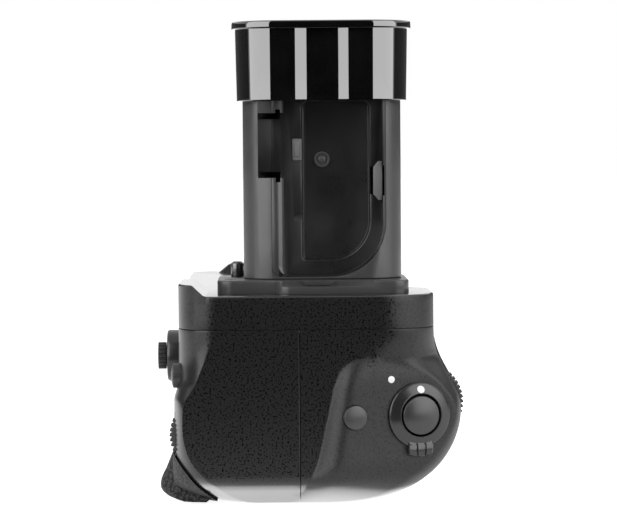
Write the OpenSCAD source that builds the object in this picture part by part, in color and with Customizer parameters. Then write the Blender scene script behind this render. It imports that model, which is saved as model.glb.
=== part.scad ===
// Vertical battery grip for a mirrorless camera.
// It screws to the base of the camera, and its stem takes the place of the camera's own battery.
// Frame: origin on the axis of the attachment screw, in the plane that the camera sits on.
// +X points to the hand-grip end, +Y to the lens side, +Z up. All sizes in millimetres.

/* [Batteries] */
// Length of one battery, along the grip
battery_len = 56; // [52:0.5:58]
// Width of one battery, across the grip
battery_w = 40; // [37:0.5:41]
// Thickness of one battery
battery_t = 20.5; // [18:0.5:22]
// Room left around a battery in its bay
bay_play = 0.5; // [0.3:0.1:1]

/* [Tray and chamber] */
// Wall of the battery tray
tray_wall = 1.2; // [1:0.1:2]
// Floor of the battery tray
tray_floor = 1.5; // [1:0.1:2.5]
// Height of the tray's rim over the batteries
tray_rim = 1.5; // [1:0.1:2.5]
// Clearance between tray and chamber, each side
tray_play = 0.3; // [0.2:0.05:0.6]
// Wall of the battery chamber
chamber_wall = 1.2; // [1:0.1:2]
// Thickness of the tray cover at the far end
cover_t = 2.5; // [2.4:0.1:3.5]
// Room for the tongue of the key behind the cover
key_room = 1.3; // [1.2:0.1:2]
// Radius of the key's disc
key_r = 7.7; // [6:0.1:9]

/* [Case] */
// Wall of the three case shells
wall = 2.2; // [1.8:0.1:2.6]
// Screw axis to the far end
far_len = 66; // [62:0.5:70]
// Length of the control section between the chamber and the end face
control_len = 15.9; // [15.5:0.1:20]
// Height of the top case
top_h = 8.5; // [8.2:0.1:9.5]
// Y of the seam between the front and rear cases
seam_y = 5.25; // [2:0.25:7]
// Gap in the seams
seam_gap = 0.16; // [0.1:0.02:0.3]
// Radius of the upright corners at the far end
far_r = 6; // [4:0.5:8]
// Radius of the edges around the base
base_r = 7; // [5:0.5:9]
// Rise of the underside towards the hand-grip end
ramp_h = 8; // [4:0.5:10]
// Length of that rise
ramp_len = 20; // [14:0.5:24]
// Swell of the rear wall under the thumb controls
rear_bulge = 1.3; // [0:0.1:2]
// Height of the legs of the chamber over the floor of the case
foot_h = 5.8; // [5:0.1:8]

/* [Hand grip] */
// Reach of the top case past the front wall, over the hand grip
top_reach = 13.6; // [10:0.1:16]
// Furthest reach of the hand grip past the front wall
grip_reach = 20.6; // [18:0.1:24]
// Depth of that furthest reach under the camera seat
belly_drop = 30; // [27:0.5:33]
// Half depth of the curve under the hand grip
under_depth = 30.6; // [26:0.1:33]
// Length of the straight hand grip, back from the end face
grip_len = 32; // [30:0.5:36]
// Length of the sweep between hand grip and front wall
sweep_len = 18; // [12:0.5:22]
// Thickness of the rubber skins
rubber_t = 0.7; // [0.5:0.05:1.2]
// Reach of the thumb rest past the swell of the rear wall
rest_reach = 4.5; // [3:0.1:8]
// Length of the thumb rest
rest_len = 31; // [20:1:34]
// Height of the thumb rest over the base
rest_h = 17; // [14:0.5:19]
// End face back to the thumb rest
rest_back = 20; // [18:0.5:24]

/* [Shutter pod] */
// Rise of the pod over the end face
pod_rise = 3.4; // [2:0.1:5]
// Tilt of the pod towards the front
pod_tilt = 20; // [15:1:24]
// Front of the hand grip back to the shutter button
shutter_in = 11.4; // [10:0.1:12]
// Depth of the pod's buttons under the camera seat
shutter_drop = 30.5; // [29:0.1:31]
// Radius of the shutter button
shutter_r = 4.7; // [4:0.1:5]
// Travel of the shutter button
shutter_travel = 0.9; // [0.5:0.1:1.2]
// Outer radius of the lock lever
lever_r = 8.3; // [7.7:0.05:8.5]
// Reach of the lever's tab from its axis
tab_reach = 10.4; // [9.6:0.1:11]
// Shutter button back to the Fn button
fn_step = 16.2; // [15.5:0.1:17.5]
// Fn button back to the ridge of the pod
ridge_step = 4; // [3:0.1:4.5]
// Radius of the Fn button
fn_r = 3.05; // [2.5:0.05:3.5]
// Travel of the Fn and AF buttons
press_travel = 0.5; // [0.3:0.1:0.7]

/* [Dials] */
// Radius of both dials
dial_r = 10; // [9:0.1:10.5]
// Width of both dials
dial_w = 5; // [4:0.1:5.5]
// Teeth around a dial
dial_teeth = 48; // [24:1:56]
// Radius of the dial shafts
shaft_r = 1.2; // [1:0.05:1.6]
// End face back to the middle of the front dial
front_dial_back = 21.5; // [21:0.1:24]
// Reach of the front dial past the hand grip
front_dial_proud = 0.9; // [0.5:0.1:1.5]
// Depth of the front dial under the camera seat
front_dial_drop = 28.6; // [27:0.1:30]
// End face back to the middle of the rear dial
rear_dial_back = 10.5; // [10:0.1:11]
// Reach of the rear dial past the rear wall
rear_dial_proud = 2.4; // [1:0.1:3]
// Depth of the rear dial under the camera seat
rear_dial_drop = 35.6; // [35:0.1:37]

/* [Joystick and AF button] */
// End face back to the joystick
stick_back = 30; // [27:0.5:33]
// Depth of the joystick under the camera seat
stick_drop = 16.9; // [15.5:0.1:17]
// Outer radius of the joystick's collar
collar_r = 6.7; // [6.4:0.1:7]
// Height of the collar over the rear wall
collar_h = 3.5; // [2.5:0.1:4]
// Radius of the joystick's cap
stick_cap_r = 3.5; // [3:0.1:3.8]
// End face back to the AF button
af_back = 12; // [11:0.1:12.5]
// Depth of the AF button under the camera seat
af_drop = 20.7; // [19:0.1:21]
// Radius of the AF button
af_r = 3.15; // [2.6:0.05:3.4]

/* [Stem and cap] */
// End face back to the middle of the stem
stem_back = 23.5; // [22.5:0.5:26]
// Y of the middle of the stem
stem_y = 11.5; // [10:0.5:13]
// Width of the stem, along Y
stem_w = 40.6; // [38:0.2:42]
// Thickness of the stem, along X
stem_t = 22; // [21:0.2:24]
// Radius of the upright corners of the stem
stem_r = 9; // [6:0.5:10]
// Height of the stem over the camera seat
stem_top = 61.5; // [58:0.5:64]
// Wall of the stem
stem_wall = 1.6; // [1.2:0.1:2]
// Thickness of the flange at the foot of the stem
flange_t = 3.5; // [3:0.1:4.5]
// Depth of the holder for the camera's battery door
holder_t = 7.6; // [7.2:0.1:8.5]
// Height of the lower edge of the cap over the camera seat
cap_z = 49; // [48.5:0.5:52]
// Height of the top of the cap over the camera seat
cap_top = 69.3; // [68.5:0.1:74]
// Wall of the cap at its grooved faces
cap_face = 2.55; // [2.2:0.05:3]
// Clearance between cap and stem
cap_play = 0.35; // [0.2:0.05:0.5]

/* [Attachment] */
// Radius of the camera screw (1/4 inch)
screw_r = 3.175; // [3.175, 4.7625]
// Length of the screw over the camera seat
screw_len = 5; // [4:0.1:6]
// Teeth of the thumb wheel
wheel_teeth = 30; // [26:1:34]
// Teeth of the gear on the screw
screw_teeth = 20; // [18:1:24]
// Tooth size of both gears, pitch diameter per tooth
gear_module = 0.864; // [0.8:0.004:0.9]
// Face width of the thumb wheel
wheel_t = 4; // [3:0.1:4.2]
// Reach of the thumb wheel past the rear wall
wheel_proud = 1.4; // [0.8:0.1:2]
// Play between the gear teeth
backlash = 0.16; // [0.1:0.02:0.3]
// Depth of the underside of the mechanism plate
mech_depth = 12.6; // [12:0.1:14]
// Radius of the thread in the tripod socket (1/4 inch)
socket_r = 3.175; // [3.175, 4.7625]
// Depth of the tripod socket
socket_len = 6; // [5:0.1:6.5]

/* [Hidden] */
$fn = 64;

// Fits: a running shaft, a free hole, and the gap between parts that only lie against each other
run = 0.05;
free = 0.15;
lie = 0.05;
// Ends of cutting shapes stand this far past the faces they cut
past = 1;

// Battery tray and chamber, from the far end to the control section
bay_len = battery_len + bay_play;
bay_w = battery_w + bay_play;
tray_half = bay_w / 2 + tray_wall;
tray_h = tray_floor + battery_t + tray_rim;
chamber_half = tray_half + tray_play + chamber_wall;
chamber_h = tray_h + 2 * tray_play + 2 * chamber_wall;
cover_x = -far_len + cover_t;
tray_x0 = cover_x + key_room;
tray_x1 = tray_x0 + 2 * bay_len + 3 * tray_wall;
contact_room = 0.5;
pad_step = 5;
pad_w = 2.6;
pad_z = 5;
pad_h = 12;
chamber_x0 = tray_x0 + 1.4;
chamber_x1 = tray_x1 + contact_room + chamber_wall;

// Overall case
hand_len = chamber_x1 + control_len;
rear_gap = 0.35;
front_gap = 0.85;
rear_depth = chamber_half + rear_gap + wall;
front_depth = chamber_half + front_gap + wall;
board_t = 1.6;
board_drop = 3.4;
board_post = 2.4;
board_z = -mech_depth - board_drop;
chamber_top = board_z - board_t - board_post;
chamber_z = chamber_top - chamber_h;
tray_z = chamber_z + chamber_wall + tray_play;
case_h = -chamber_z + foot_h + wall;
floor_z = -case_h + wall;
top_front = front_depth + top_reach;
grip_front = front_depth + grip_reach;
grip_x1 = hand_len - grip_len;
grip_x0 = grip_x1 - sweep_len;
// Lip along the rear edge by the thumb, and step at the far end
lip_len = 36;
lip_h = 2.7;
step_half = rear_depth - 8;
step_slope = 3.2;
step_h = 2.6;

// Shape of the upright corners at the hand-grip end, by share of the height:
// how far each corner reaches along Y (ay) and along X (ax)
rear_ay = [[0, 10], [0.16, 9.5], [0.3, 6.8], [0.41, 4.4], [0.51, 2.6], [0.58, 2.4], [0.66, 2.6], [0.74, 3.8],
    [0.8, 5.8], [0.84, 8], [0.9, 12], [1, 14]];
rear_ax = [[0, 13.5], [0.7, 13], [0.88, 17], [1, 20]];
front_ay = [[0, 14], [0.16, 13.5], [0.27, 12.8], [0.31, 10.2], [0.36, 5.8], [0.43, 3.4], [0.5, 2.3],
    [0.58, 2], [0.75, 5], [0.9, 7], [1, 5]];
front_ax = [[0, 14], [0.16, 13.5], [0.3, 12.5], [0.4, 9], [0.55, 8], [0.75, 9], [1, 10]];
// Heights of the sections through the case, as shares of its height
levels = [0, 0.158, 0.2, 0.25, 0.287, 0.31, 0.345, 0.375, 0.41, 0.45, 0.51, 0.58, 0.66, 0.74, 0.8, 0.84, 0.88,
    0.92, 0.955, 0.98, 0.995, 1];
// Those that the top case needs, and those that the rubber skins lie on
top_levels = [for (s = levels) if (s < 0.28) s];
skin_levels = [for (s = levels) if (s > 0.17) s];

// Places of the pod and its two buttons
shutter_y = grip_front - shutter_in;
fn_y = shutter_y - fn_step;
pod_y = fn_y - ridge_step;

// Depth at which the swell of the rear wall starts, and its length
bulge_drop = 24;
bulge_len = 10;

// Outline of the pod on the end face
pod_top = 15.5;
pod_corner = 8;
pod_flank = 6.4;
pod_left = fn_y - 4.6;
// Its left edge leans towards the seam under the first depth, and curves towards it under the second
pod_bend = 21;
pod_lean = 0.22;
pod_curl = 39;
pod_sweep = 0.02;
// Valley between the top case and the pod: its depth behind the pod, where it starts, and its width
pod_dip = 2;
pod_dip_y = fn_y - 1;
pod_dip_w = 12;
// Height over the base at which the pod starts to fade out
pod_fade = 8;

function ease(t) = 0.5 - 0.5 * cos(180 * max(0, min(1, t)));
function smooth(t) = let (c = max(0, min(1, t))) c * c * (3 - 2 * c);
function mix(a, b, t) = a + (b - a) * t;
function steps(a, b, n) = [for (i = [0:n - 1]) a + (b - a) * i / n];

// Front of the hand grip at height z: upright band, belly, and the curve under it
function belly(z) =
    z > -top_h ? top_front
    : z > -belly_drop ? mix(top_front, grip_front, ease(pow((-z - top_h) / (belly_drop - top_h), 1.25)))
    : grip_front - under_depth * (1 - sqrt(max(0, 1 - pow((-z - belly_drop) / (case_h - belly_drop), 2))));

// Rounding of the edges around the base
function base_in(z) =
    let (d = max(0, -z - case_h + base_r)) base_r - sqrt(max(0, base_r * base_r - d * d));

// Swell of the rear wall at height z
function bulge(z) = rear_bulge * smooth((-z - bulge_drop) / bulge_len);

// Left edge of the pod
function pod_left_at(z) =
    pod_left - pod_lean * max(0, -z - pod_bend) - pod_sweep * pow(max(0, -z - pod_curl), 2);

// How much a point of the end face belongs to the pod: 0 at its edge, 1 past its rounded flank
function pod_share(y, z) = let (
    dy = y - pod_left_at(z),
    dz = -pod_top - z,
    a = pod_corner - dy,
    b = pod_corner - dz,
    d = a > 0 && b > 0 ? pod_corner - norm([a, b]) : min(dy, dz),
    c = max(0, min(1, d / pod_flank)))
    c * (2 - c);

// Y at height z where the pod is as far inside its edge as d
function pod_edge(z, d) = let (
    drop = -pod_top - z,
    r = pod_corner - d,
    b = pod_corner - drop)
    pod_left_at(z) + pod_corner - (b <= 0 ? r : b < r ? sqrt(r * r - b * b) : 0);

// Height of the pod's plane over the end face
function pod_plane(y) = pod_rise - tan(pod_tilt) * max(0, y - pod_y);
function pod_x(y) = hand_len + pod_plane(y);

// X of the end surface: flat face, rising underside, pod, and the valley above it
function end_x(y, z) = let (
    m = pod_share(y, z),
    up = z + case_h,
    low = max(0, ramp_h - up) / ramp_h,
    soft = max(0, 2 * ramp_h - up) / (2 * ramp_h),
    rise = pod_plane(y),
    valley = smooth((-z - top_h) / (pod_top - top_h)),
    beside = valley * (min(0, rise) - pod_dip * smooth((y - pod_dip_y) / pod_dip_w)))
    hand_len - ramp_len * mix(low, pow(soft, 3), m) + smooth(up / pod_fade) * mix(beside, rise, m);

// Plan outline of the case at height z, set in by t, anticlockwise from the far rear corner
function plan(z, t) = let (
    share = -z / case_h,
    set_in = base_in(z) + t,
    yr = -(rear_depth - set_in) - bulge(z),
    yf = front_depth - set_in,
    xf = -(far_len - set_in),
    yb = belly(z) - t,
    ayr = max(0.6, lookup(share, rear_ay) - t),
    axr = lookup(share, rear_ax) - t,
    ayf = max(0.6, lookup(share, front_ay) - t),
    axf = lookup(share, front_ax) - t,
    fr = max(0.8, far_r - t),
    y0 = yr + ayr,
    y1 = yb - ayf,
    xr = end_x(yr, z) - t - axr,
    xb = end_x(yb, z) - t - axf,
    foot = max(seam_y + 0.6, pod_edge(z, 0)),
    crest = max(foot + 1.5, pod_edge(z, pod_flank)))
    concat(
        [for (x = steps(xf + fr, xr, 5)) [x, yr]],
        [for (a = steps(0, 90, 6)) let (y = yr + ayr * (1 - cos(a)))
            [end_x(y, z) - t - axr * (1 - sin(a)), y]],
        [for (y = steps(y0, seam_y, 4)) [end_x(y, z) - t, y]],
        [for (y = concat(steps(seam_y, foot, 3), steps(foot, crest, 5), steps(crest, y1, 10)))
            [end_x(y, z) - t, y]],
        [for (a = steps(0, 90, 6)) let (y = y1 + ayf * sin(a))
            [end_x(y, z) - t - axf * (1 - cos(a)), y]],
        [for (x = steps(xb, grip_x1, 3)) [x, yb]],
        [for (x = steps(grip_x1, grip_x0, 8)) [x, mix(yf, yb, ease((x - grip_x0) / sweep_len))]],
        [for (x = steps(grip_x0, xf + fr, 4)) [x, yf]],
        [for (a = steps(90, 180, 4)) [xf + fr + fr * cos(a), yf - fr + fr * sin(a)]],
        [for (y = steps(yf - fr, yr + fr, 3)) [xf, y]],
        [for (a = steps(180, 270, 4)) [xf + fr + fr * cos(a), yr + fr + fr * sin(a)]]);

// Solid through the plan outlines at the given shares of the height, set in by t on every side
module case_form(t, shares = levels) {
    rings = [for (s = shares) [for (p = plan(-s * case_h, t)) [p[0], p[1], -t - s * (case_h - 2 * t)]]];
    n = len(rings[0]);
    m = len(rings);
    hub = m * n;
    hubs = [[grip_x1, 0, rings[0][0][2]], [grip_x1, 0, rings[m - 1][0][2]]];
    sides = [for (j = [0:m - 2]) for (i = [0:n - 1]) let (a = j * n + i, b = j * n + (i + 1) % n)
        each [[a, b, b + n], [a, b + n, a + n]]];
    caps = [for (i = [0:n - 1]) let (b = (i + 1) % n)
        each [[hub, b, i], [hub + 1, (m - 1) * n + i, (m - 1) * n + b]]];
    polyhedron(points = concat([for (r = rings) each r], hubs), faces = concat(sides, caps));
}

// Rectangle with round corners, from corner to corner
function arc(cx, cy, r, a, n = 8) =
    [for (i = [0:n]) [cx + r * cos(a + 90 * i / n), cy + r * sin(a + 90 * i / n)]];
function round_rect(x0, y0, x1, y1, r) = concat(
    arc(x1 - r, y1 - r, r, 0), arc(x0 + r, y1 - r, r, 90),
    arc(x0 + r, y0 + r, r, 180), arc(x1 - r, y0 + r, r, 270));
// The same with a radius of its own at each corner: lower left, lower right, and both upper ones
function door_shape(x0, y0, x1, y1, rl, rr, ru) = concat(
    arc(x1 - ru, y1 - ru, ru, 0, 4), arc(x0 + ru, y1 - ru, ru, 90, 4),
    arc(x0 + rl, y0 + rl, rl, 180, 6), arc(x1 - rr, y0 + rr, rr, 270, 10));

// Box between two corners
module box(a, b) {
    translate(a) cube(b - a);
}

// Outline in Y and Z, drawn out along X
module along_x(x0, x1) {
    translate([x0, 0, 0]) rotate([90, 0, 90]) linear_extrude(x1 - x0) children();
}

// Things that stand on the pod, with their own z axis out of it and their x axis down
module on_pod(y) {
    translate([pod_x(y), y, -shutter_drop]) rotate([0, 90, pod_tilt]) children();
}

// Things in the rear wall, with their own z axis out to the rear
module on_rear(back, drop) {
    translate([hand_len - back, -rear_depth, -drop]) rotate([90, 0, 0]) children();
}

// Involute spur gear, tooth on the x axis
gear_angle = 20;
gear_add = 0.95;
gear_ded = 1.25;
function involute(a) = tan(a) * 180 / PI - a;
function flank(r, rb) = involute(acos(min(1, rb / r)));
function gear_outline(teeth) = let (
    rp = gear_module * teeth / 2,
    rb = rp * cos(gear_angle),
    ra = rp + gear_add * gear_module,
    rf = rp - gear_ded * gear_module,
    half = 90 / teeth - backlash / 4 / rp * 180 / PI + involute(gear_angle),
    radii = [for (i = [0:4]) max(rb, rf) + (ra - max(rb, rf)) * i / 4])
    [for (k = [0:teeth - 1]) let (c = 360 * k / teeth) each concat(
        [rf * [cos(c - half), sin(c - half)]],
        [for (r = radii) r * [cos(c - half + flank(r, rb)), sin(c - half + flank(r, rb))]],
        [for (i = [4:-1:0]) let (r = radii[i], a = c + half - flank(r, rb)) r * [cos(a), sin(a)]],
        [rf * [cos(c + half), sin(c + half)]])];

// Positions of the attachment gears
wheel_pitch = gear_module * wheel_teeth / 2;
screw_pitch = gear_module * screw_teeth / 2;
wheel_y = -rear_depth - wheel_proud + wheel_pitch + gear_add * gear_module;
wheel_x = -sqrt(pow(wheel_pitch + screw_pitch, 2) - wheel_y * wheel_y);
mesh_angle = atan2(-wheel_y, -wheel_x);
gear_gap = 1;
wheel_z = -wall - gear_gap - wheel_t;
plate_t = 1.2;
plate_z = -mech_depth;
axle_r = 2;
journal_r = 2.5;
neck_r = screw_r - 0.2;

// Main board beside the gears, clear of the joystick's base
board_clear = 1.5;
stick_base_d = 4.8;
board_x0 = screw_pitch + 6.4;
board_x1 = chamber_x1 - 2;
board_half = rear_depth - wall - stick_base_d - board_clear;
board_posts = [for (x = [board_x0 + 4, board_x1 - 4], y = [-board_half + 4, board_half - 4]) [x, y]];

// Positions of the dials
front_dial_x = hand_len - front_dial_back;
front_dial_y = grip_front + front_dial_proud - dial_r;
rear_dial_x = hand_len - rear_dial_back;
rear_dial_y = -rear_depth - rear_dial_proud + dial_r;
ear_t = 1.1;
ear_gap = 0.35;
ear_h = 6;
dial_tooth = 0.7;
dial_room = 0.5;

// Stem and cap
stem_x = hand_len - stem_back;
stem_face = stem_x + stem_t / 2;
stem_back_x = stem_x - stem_t / 2;
stem_y0 = stem_y - stem_w / 2;
stem_y1 = stem_y + stem_w / 2;
holder_y0 = stem_y0 + 7.3;
holder_y1 = stem_y1 - 4.1;
holder_z0 = flange_t + 0.7;
holder_z1 = cap_z + 4;
ledge_d = 4.6;
pocket_d = 2;
pocket_y0 = holder_y0 + 7.9;
pocket_y1 = holder_y1 - 4.1;
pocket_z0 = holder_z0 + 4.2;
notch_z0 = cap_z - 19.6;
notch_z1 = cap_z - 3.1;
notch_y0 = holder_y0 - 3.4;
ridge_w = 3.2;
slot_h = 1.5;
slot_d = 1.8;
catch_z0 = cap_z - 25.5;
catch_z1 = cap_z - 15.5;
well_half = 9;
well_d = 3.5;
contact_step = 3.4;
crown_t = 3.2;
cap_rim = 2;
cap_rim_out = 1.1;
cap_roof = 2.4;
groove_r = 19;
groove_d = 1.27;
flex_t = 0.3;
flex_w = 12;
flex_x = stem_back_x + stem_wall + 5;
flange_near = stem_face + 5.5;
flange_rear = stem_back_x - 4.5;
flange_y0 = stem_y0 - 6.7;
flange_y1 = stem_y1 + 1.4;
pin_r = 1.7;
pin_h = 4;
pin_root = 1.2;
pin_x = stem_back_x + 3.5;
pin_y = stem_y0 - 1.8;
flange_screws_at = [[stem_face - 2.5, stem_y0 - 3.4], [stem_back_x - 2.2, stem_y1 - 9]];

// Buttons
sleeve_in = shutter_r + 0.55;
sleeve_r = sleeve_in + 1;
ring_h = 1.9;
skin = wall * cos(pod_tilt);
clip_t = 0.6;
sleeve_end = skin + 0.4 + clip_t;
button_seat = sleeve_end + 0.4;
button_flange = 0.8;
switch_h = 2;
switch_w = 6;
plunger_r = 1.5;
plunger_end = button_seat + button_flange + 1.6;
switch_top = plunger_end + shutter_travel + 0.3;
control_back = switch_top + switch_h;
control_t = 1.2;
control_half = 7;
control_post = 5.2;
control_gap = 0.25;
fn_seat = skin + 0.4;
fn_plunger = switch_top - press_travel - 0.3;
lever_pin_r = 1.6;
// the flange of the AF button clears the rounded rear corner
af_seat = wall + 0.8;
af_plunger = af_seat + button_flange + 0.3;
af_post_up = 7.6;
af_post_gap = 0.9;
af_board_d = af_plunger + press_travel + 0.3 + switch_h;

// Joystick
stick_x = hand_len - stick_back;
pivot_in = 4;
ball_r = 1.9;
ring_in = 2.05;
ring_out = 2.8;
ring_t = 1.8;
pivot_pin = 0.5;
cross_pin = 0.45;
stick_throat = 4.3;
stick_base_top = 3.9;
stick_base_low = 2.7;

// Door opening of the tray at the far end
cover_half = chamber_half - 0.4;
cover_z0 = chamber_z - 1.5;
cover_z1 = chamber_top + 1.5;
cover_gap = 0.15;
key_z = tray_z + tray_h / 2;
key_reach = cover_z1 - key_z + 1.6;
key_d = 1.1;
key_shaft = 2;

// Thumb rest over the table
rest_lift = 0.4;

// Legs, socket and screws
leg_y = 12;
leg_w = 4;
legs_x = [-far_len + 14, chamber_x1 - 18];
screw_head_r = 2.1;
screw_shank_r = 0.95;
socket_out = 5.5;
socket_flange = 8.2;

// Way for the flex of the stem, down through the flange and the top case
module flex_way() {
    box([flex_x - 3, stem_y - flex_w / 2 - 1, -wall - past],
        [flex_x + 3, stem_y + flex_w / 2 + 1, flange_t + past]);
}

module top_case() {
    color([0.13, 0.13, 0.14]) {
        difference() {
            intersection() {
                case_form(0, top_levels);
                box([-far_len - past, -rear_depth - past, -top_h + seam_gap / 2],
                    [hand_len + 9, grip_front + past, past]);
            }
            case_form(wall, top_levels);
            translate([0, 0, -wall - past]) cylinder(r = screw_r + free, h = wall + 2 * past);
            flex_way();
            // slot for the thumb wheel
            translate([wheel_x, wheel_y, wheel_z - 0.3])
                cylinder(r = wheel_pitch + gear_module + 0.5, h = wheel_t + 0.6);
            for (p = flange_screws_at) translate([p[0], p[1], -wall - past])
                cylinder(r = screw_shank_r + lie, h = wall + 2 * past);
            translate([pin_x, pin_y, -wall - past]) cylinder(r = pin_root + lie, h = wall + 2 * past);
        }
        // lip along the rear edge by the thumb, and the raised step at the far end
        intersection() {
            translate([0, 0, -0.5]) linear_extrude(4) polygon(plan(0, 0));
            along_x(hand_len - lip_len, hand_len + past)
                polygon([[-rear_depth - past, -0.5], [-rear_depth - past, lip_h],
                    [-rear_depth + 3.6, lip_h], [-rear_depth + 7, 0], [-rear_depth + 7, -0.5]]);
        }
        along_x(-far_len + 1, -far_len + 10)
            polygon([[-step_half, -0.5], [-step_half, 0], [-step_half + step_slope, step_h],
                [step_half - step_slope, step_h], [step_half, 0], [step_half, -0.5]]);
    }
}

// Hole in the far end that the tray cover fills
module cover_cut() {
    box([-far_len - past, -cover_half - cover_gap, cover_z0 - cover_gap],
        [chamber_x0, cover_half + cover_gap, cover_z1 + cover_gap]);
}

// Holes in the floor for the tripod socket and the base screws
module floor_cuts() {
    translate([0, 0, -case_h - past]) cylinder(r = socket_out + lie, h = wall + 2 * past);
    for (x = legs_x, y = [-leg_y, leg_y]) translate([x, y, -case_h - past]) {
        cylinder(r = screw_shank_r + free, h = wall + 2 * past);
        cylinder(r = screw_head_r + free, h = 1.3 + past);
    }
}

module front_case() {
    color([0.13, 0.13, 0.14]) difference() {
        intersection() {
            case_form(0);
            box([-far_len - past, seam_y + seam_gap / 2, -case_h - past],
                [hand_len + 9, grip_front + past, -top_h - seam_gap / 2]);
        }
        case_form(wall);
        on_pod(shutter_y) translate([0, 0, -2 * wall]) cylinder(r = sleeve_r + free, h = 4 * wall);
        on_pod(fn_y) translate([0, 0, -2 * wall]) cylinder(r = fn_r + free, h = 4 * wall);
        at_front_dial() dial_window();
        cover_cut();
        floor_cuts();
    }
}

module rear_case() {
    color([0.13, 0.13, 0.14]) difference() {
        intersection() {
            case_form(0);
            box([-far_len - past, -rear_depth - past, -case_h - past],
                [hand_len + 9, seam_y - seam_gap / 2, -top_h - seam_gap / 2]);
        }
        case_form(wall);
        on_rear(stick_back, stick_drop) translate([0, 0, -2 * wall]) cylinder(r = stick_throat, h = 3 * wall);
        on_rear(af_back, af_drop) translate([0, 0, -2 * wall]) cylinder(r = af_r + free, h = 3 * wall);
        at_rear_dial() dial_window();
        // relief for the lower corner of the chamber
        box([chamber_x1 - 8, -chamber_half - free, chamber_z - free],
            [chamber_x1 + free, 0, chamber_z + 6]);
        cover_cut();
        floor_cuts();
    }
}

module front_grip_rubber() {
    color([0.1, 0.1, 0.1]) difference() {
        intersection() {
            case_form(-rubber_t, skin_levels);
            box([grip_x0 + 4, front_depth + 4, -case_h + 7],
                [front_dial_x - dial_w / 2 - 1.5, grip_front + 2, -top_h - 3]);
        }
        case_form(-lie, skin_levels);
    }
}

module thumb_rest_rubber() {
    y = -rear_depth - rear_bulge;
    z = -case_h;
    x1 = hand_len - rest_back;
    x0 = x1 - rest_len;
    color([0.1, 0.1, 0.1]) difference() {
        intersection() {
            along_x(x0, x1)
                polygon([[y + 1, z + rest_h], [y - 0.4, z + rest_h * 0.97],
                    [y - rest_reach * 0.3, z + rest_h * 0.76], [y - rest_reach * 0.85, z + rest_h * 0.38],
                    [y - rest_reach, z + rest_h * 0.25],
                    [y - rest_reach * 0.85, z + rest_h * 0.12], [y - rest_reach * 0.4, z + rest_lift * 2],
                    [y + base_r, z + rest_lift], [y + base_r, z + rest_h * 0.2], [y + 1, z + rest_h * 0.5]]);
            // both ends taper back to the wall
            translate([0, 0, z]) linear_extrude(rest_h + past)
                polygon([for (i = [0:12])
                    [x0 + rest_len * i / 12, y + 1.5 - (rest_reach + 1.5) * sqrt(sin(180 * i / 12))],
                    [x1, y + 10], [x0, y + 10]]);
        }
        case_form(-lie, skin_levels);
    }
}

module battery_chamber() {
    inner = tray_half + tray_play;
    color([0.2, 0.2, 0.21]) difference() {
        union() {
            box([chamber_x0, -chamber_half, chamber_z], [chamber_x1, chamber_half, chamber_top]);
            for (y = [-leg_y, leg_y])
                box([legs_x[0] - 4, y - leg_w / 2, floor_z + lie],
                    [legs_x[1] + 4, y + leg_w / 2, chamber_z + 0.5]);
            for (p = board_posts) translate([p[0], p[1], chamber_top - 0.5])
                cylinder(r = 2, h = board_post + 0.5 - lie);
        }
        box([chamber_x0 - past, -inner, chamber_z + chamber_wall],
            [chamber_x1 - chamber_wall, inner, chamber_top - chamber_wall]);
        for (x = legs_x, y = [-leg_y, leg_y]) translate([x, y, floor_z - past])
            cylinder(r = screw_shank_r + lie, h = foot_h);
    }
}

module chamber_contacts() {
    color([0.8, 0.7, 0.4]) for (k = [-2:2])
        box([chamber_x1 - chamber_wall - contact_room * 0.6, k * pad_step - pad_w / 2, tray_z + pad_z + 1],
            [chamber_x1 - chamber_wall - 0.01, k * pad_step + pad_w / 2, tray_z + pad_z + pad_h - 1]);
}

module main_board() {
    color([0.1, 0.3, 0.16]) {
        box([board_x0, -board_half, board_z - board_t], [board_x1, board_half, board_z]);
        box([board_x0 + 8, -8, board_z - 0.2], [board_x0 + 18, 2, board_z + 1.2]);
        box([flex_x + flex_t, stem_y - flex_w / 2 - 1, board_z - 0.2],
            [flex_x + 3, stem_y + flex_w / 2 - 3, board_z + 1.8]);
    }
}

module mechanism_plate() {
    x0 = wheel_x - 6;
    x1 = screw_pitch + 3.4;
    y0 = -rear_depth + wall + 1.5;
    y1 = screw_pitch + 3.4;
    posts = [[x0 + 2, y1 - 2], [x1 - 2, y1 - 2], [x1 - 2, y0 + 2]];
    color([0.55, 0.55, 0.57]) difference() {
        union() {
            box([x0, y0, plate_z], [x1, y1, plate_z + plate_t]);
            for (p = posts) translate([p[0], p[1], plate_z + 0.2])
                cylinder(r = 1.8, h = -wall - plate_z - 0.2 - lie);
        }
        translate([0, 0, plate_z - past]) cylinder(r = journal_r + run, h = plate_t + 2 * past);
        translate([wheel_x, wheel_y, plate_z - past]) cylinder(r = axle_r, h = plate_t + 2 * past);
    }
}

module attachment_screw() {
    g = wheel_z - 0.4;
    color([0.72, 0.7, 0.66]) {
        cylinder(r = screw_r, h = screw_len);
        translate([0, 0, g]) cylinder(r = neck_r, h = -g);
        translate([0, 0, g]) rotate(mesh_angle + 180 + 180 / screw_teeth) linear_extrude(wheel_t + 0.8)
            polygon(gear_outline(screw_teeth));
        translate([0, 0, plate_z + plate_t + 0.2])
            cylinder(r = screw_pitch * 0.6, h = g - plate_z - plate_t - 0.1);
        translate([0, 0, plate_z]) cylinder(r = journal_r, h = plate_t + 0.3);
    }
}

module attachment_wheel() {
    color([0.16, 0.16, 0.17]) translate([wheel_x, wheel_y, wheel_z]) difference() {
        union() {
            rotate(mesh_angle) linear_extrude(wheel_t) polygon(gear_outline(wheel_teeth));
            translate([0, 0, plate_z + plate_t + 0.2 - wheel_z])
                cylinder(r = axle_r + 2.5, h = wheel_z - plate_z - plate_t);
        }
        translate([0, 0, plate_z - wheel_z]) cylinder(r = axle_r + run, h = mech_depth);
    }
}

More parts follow.
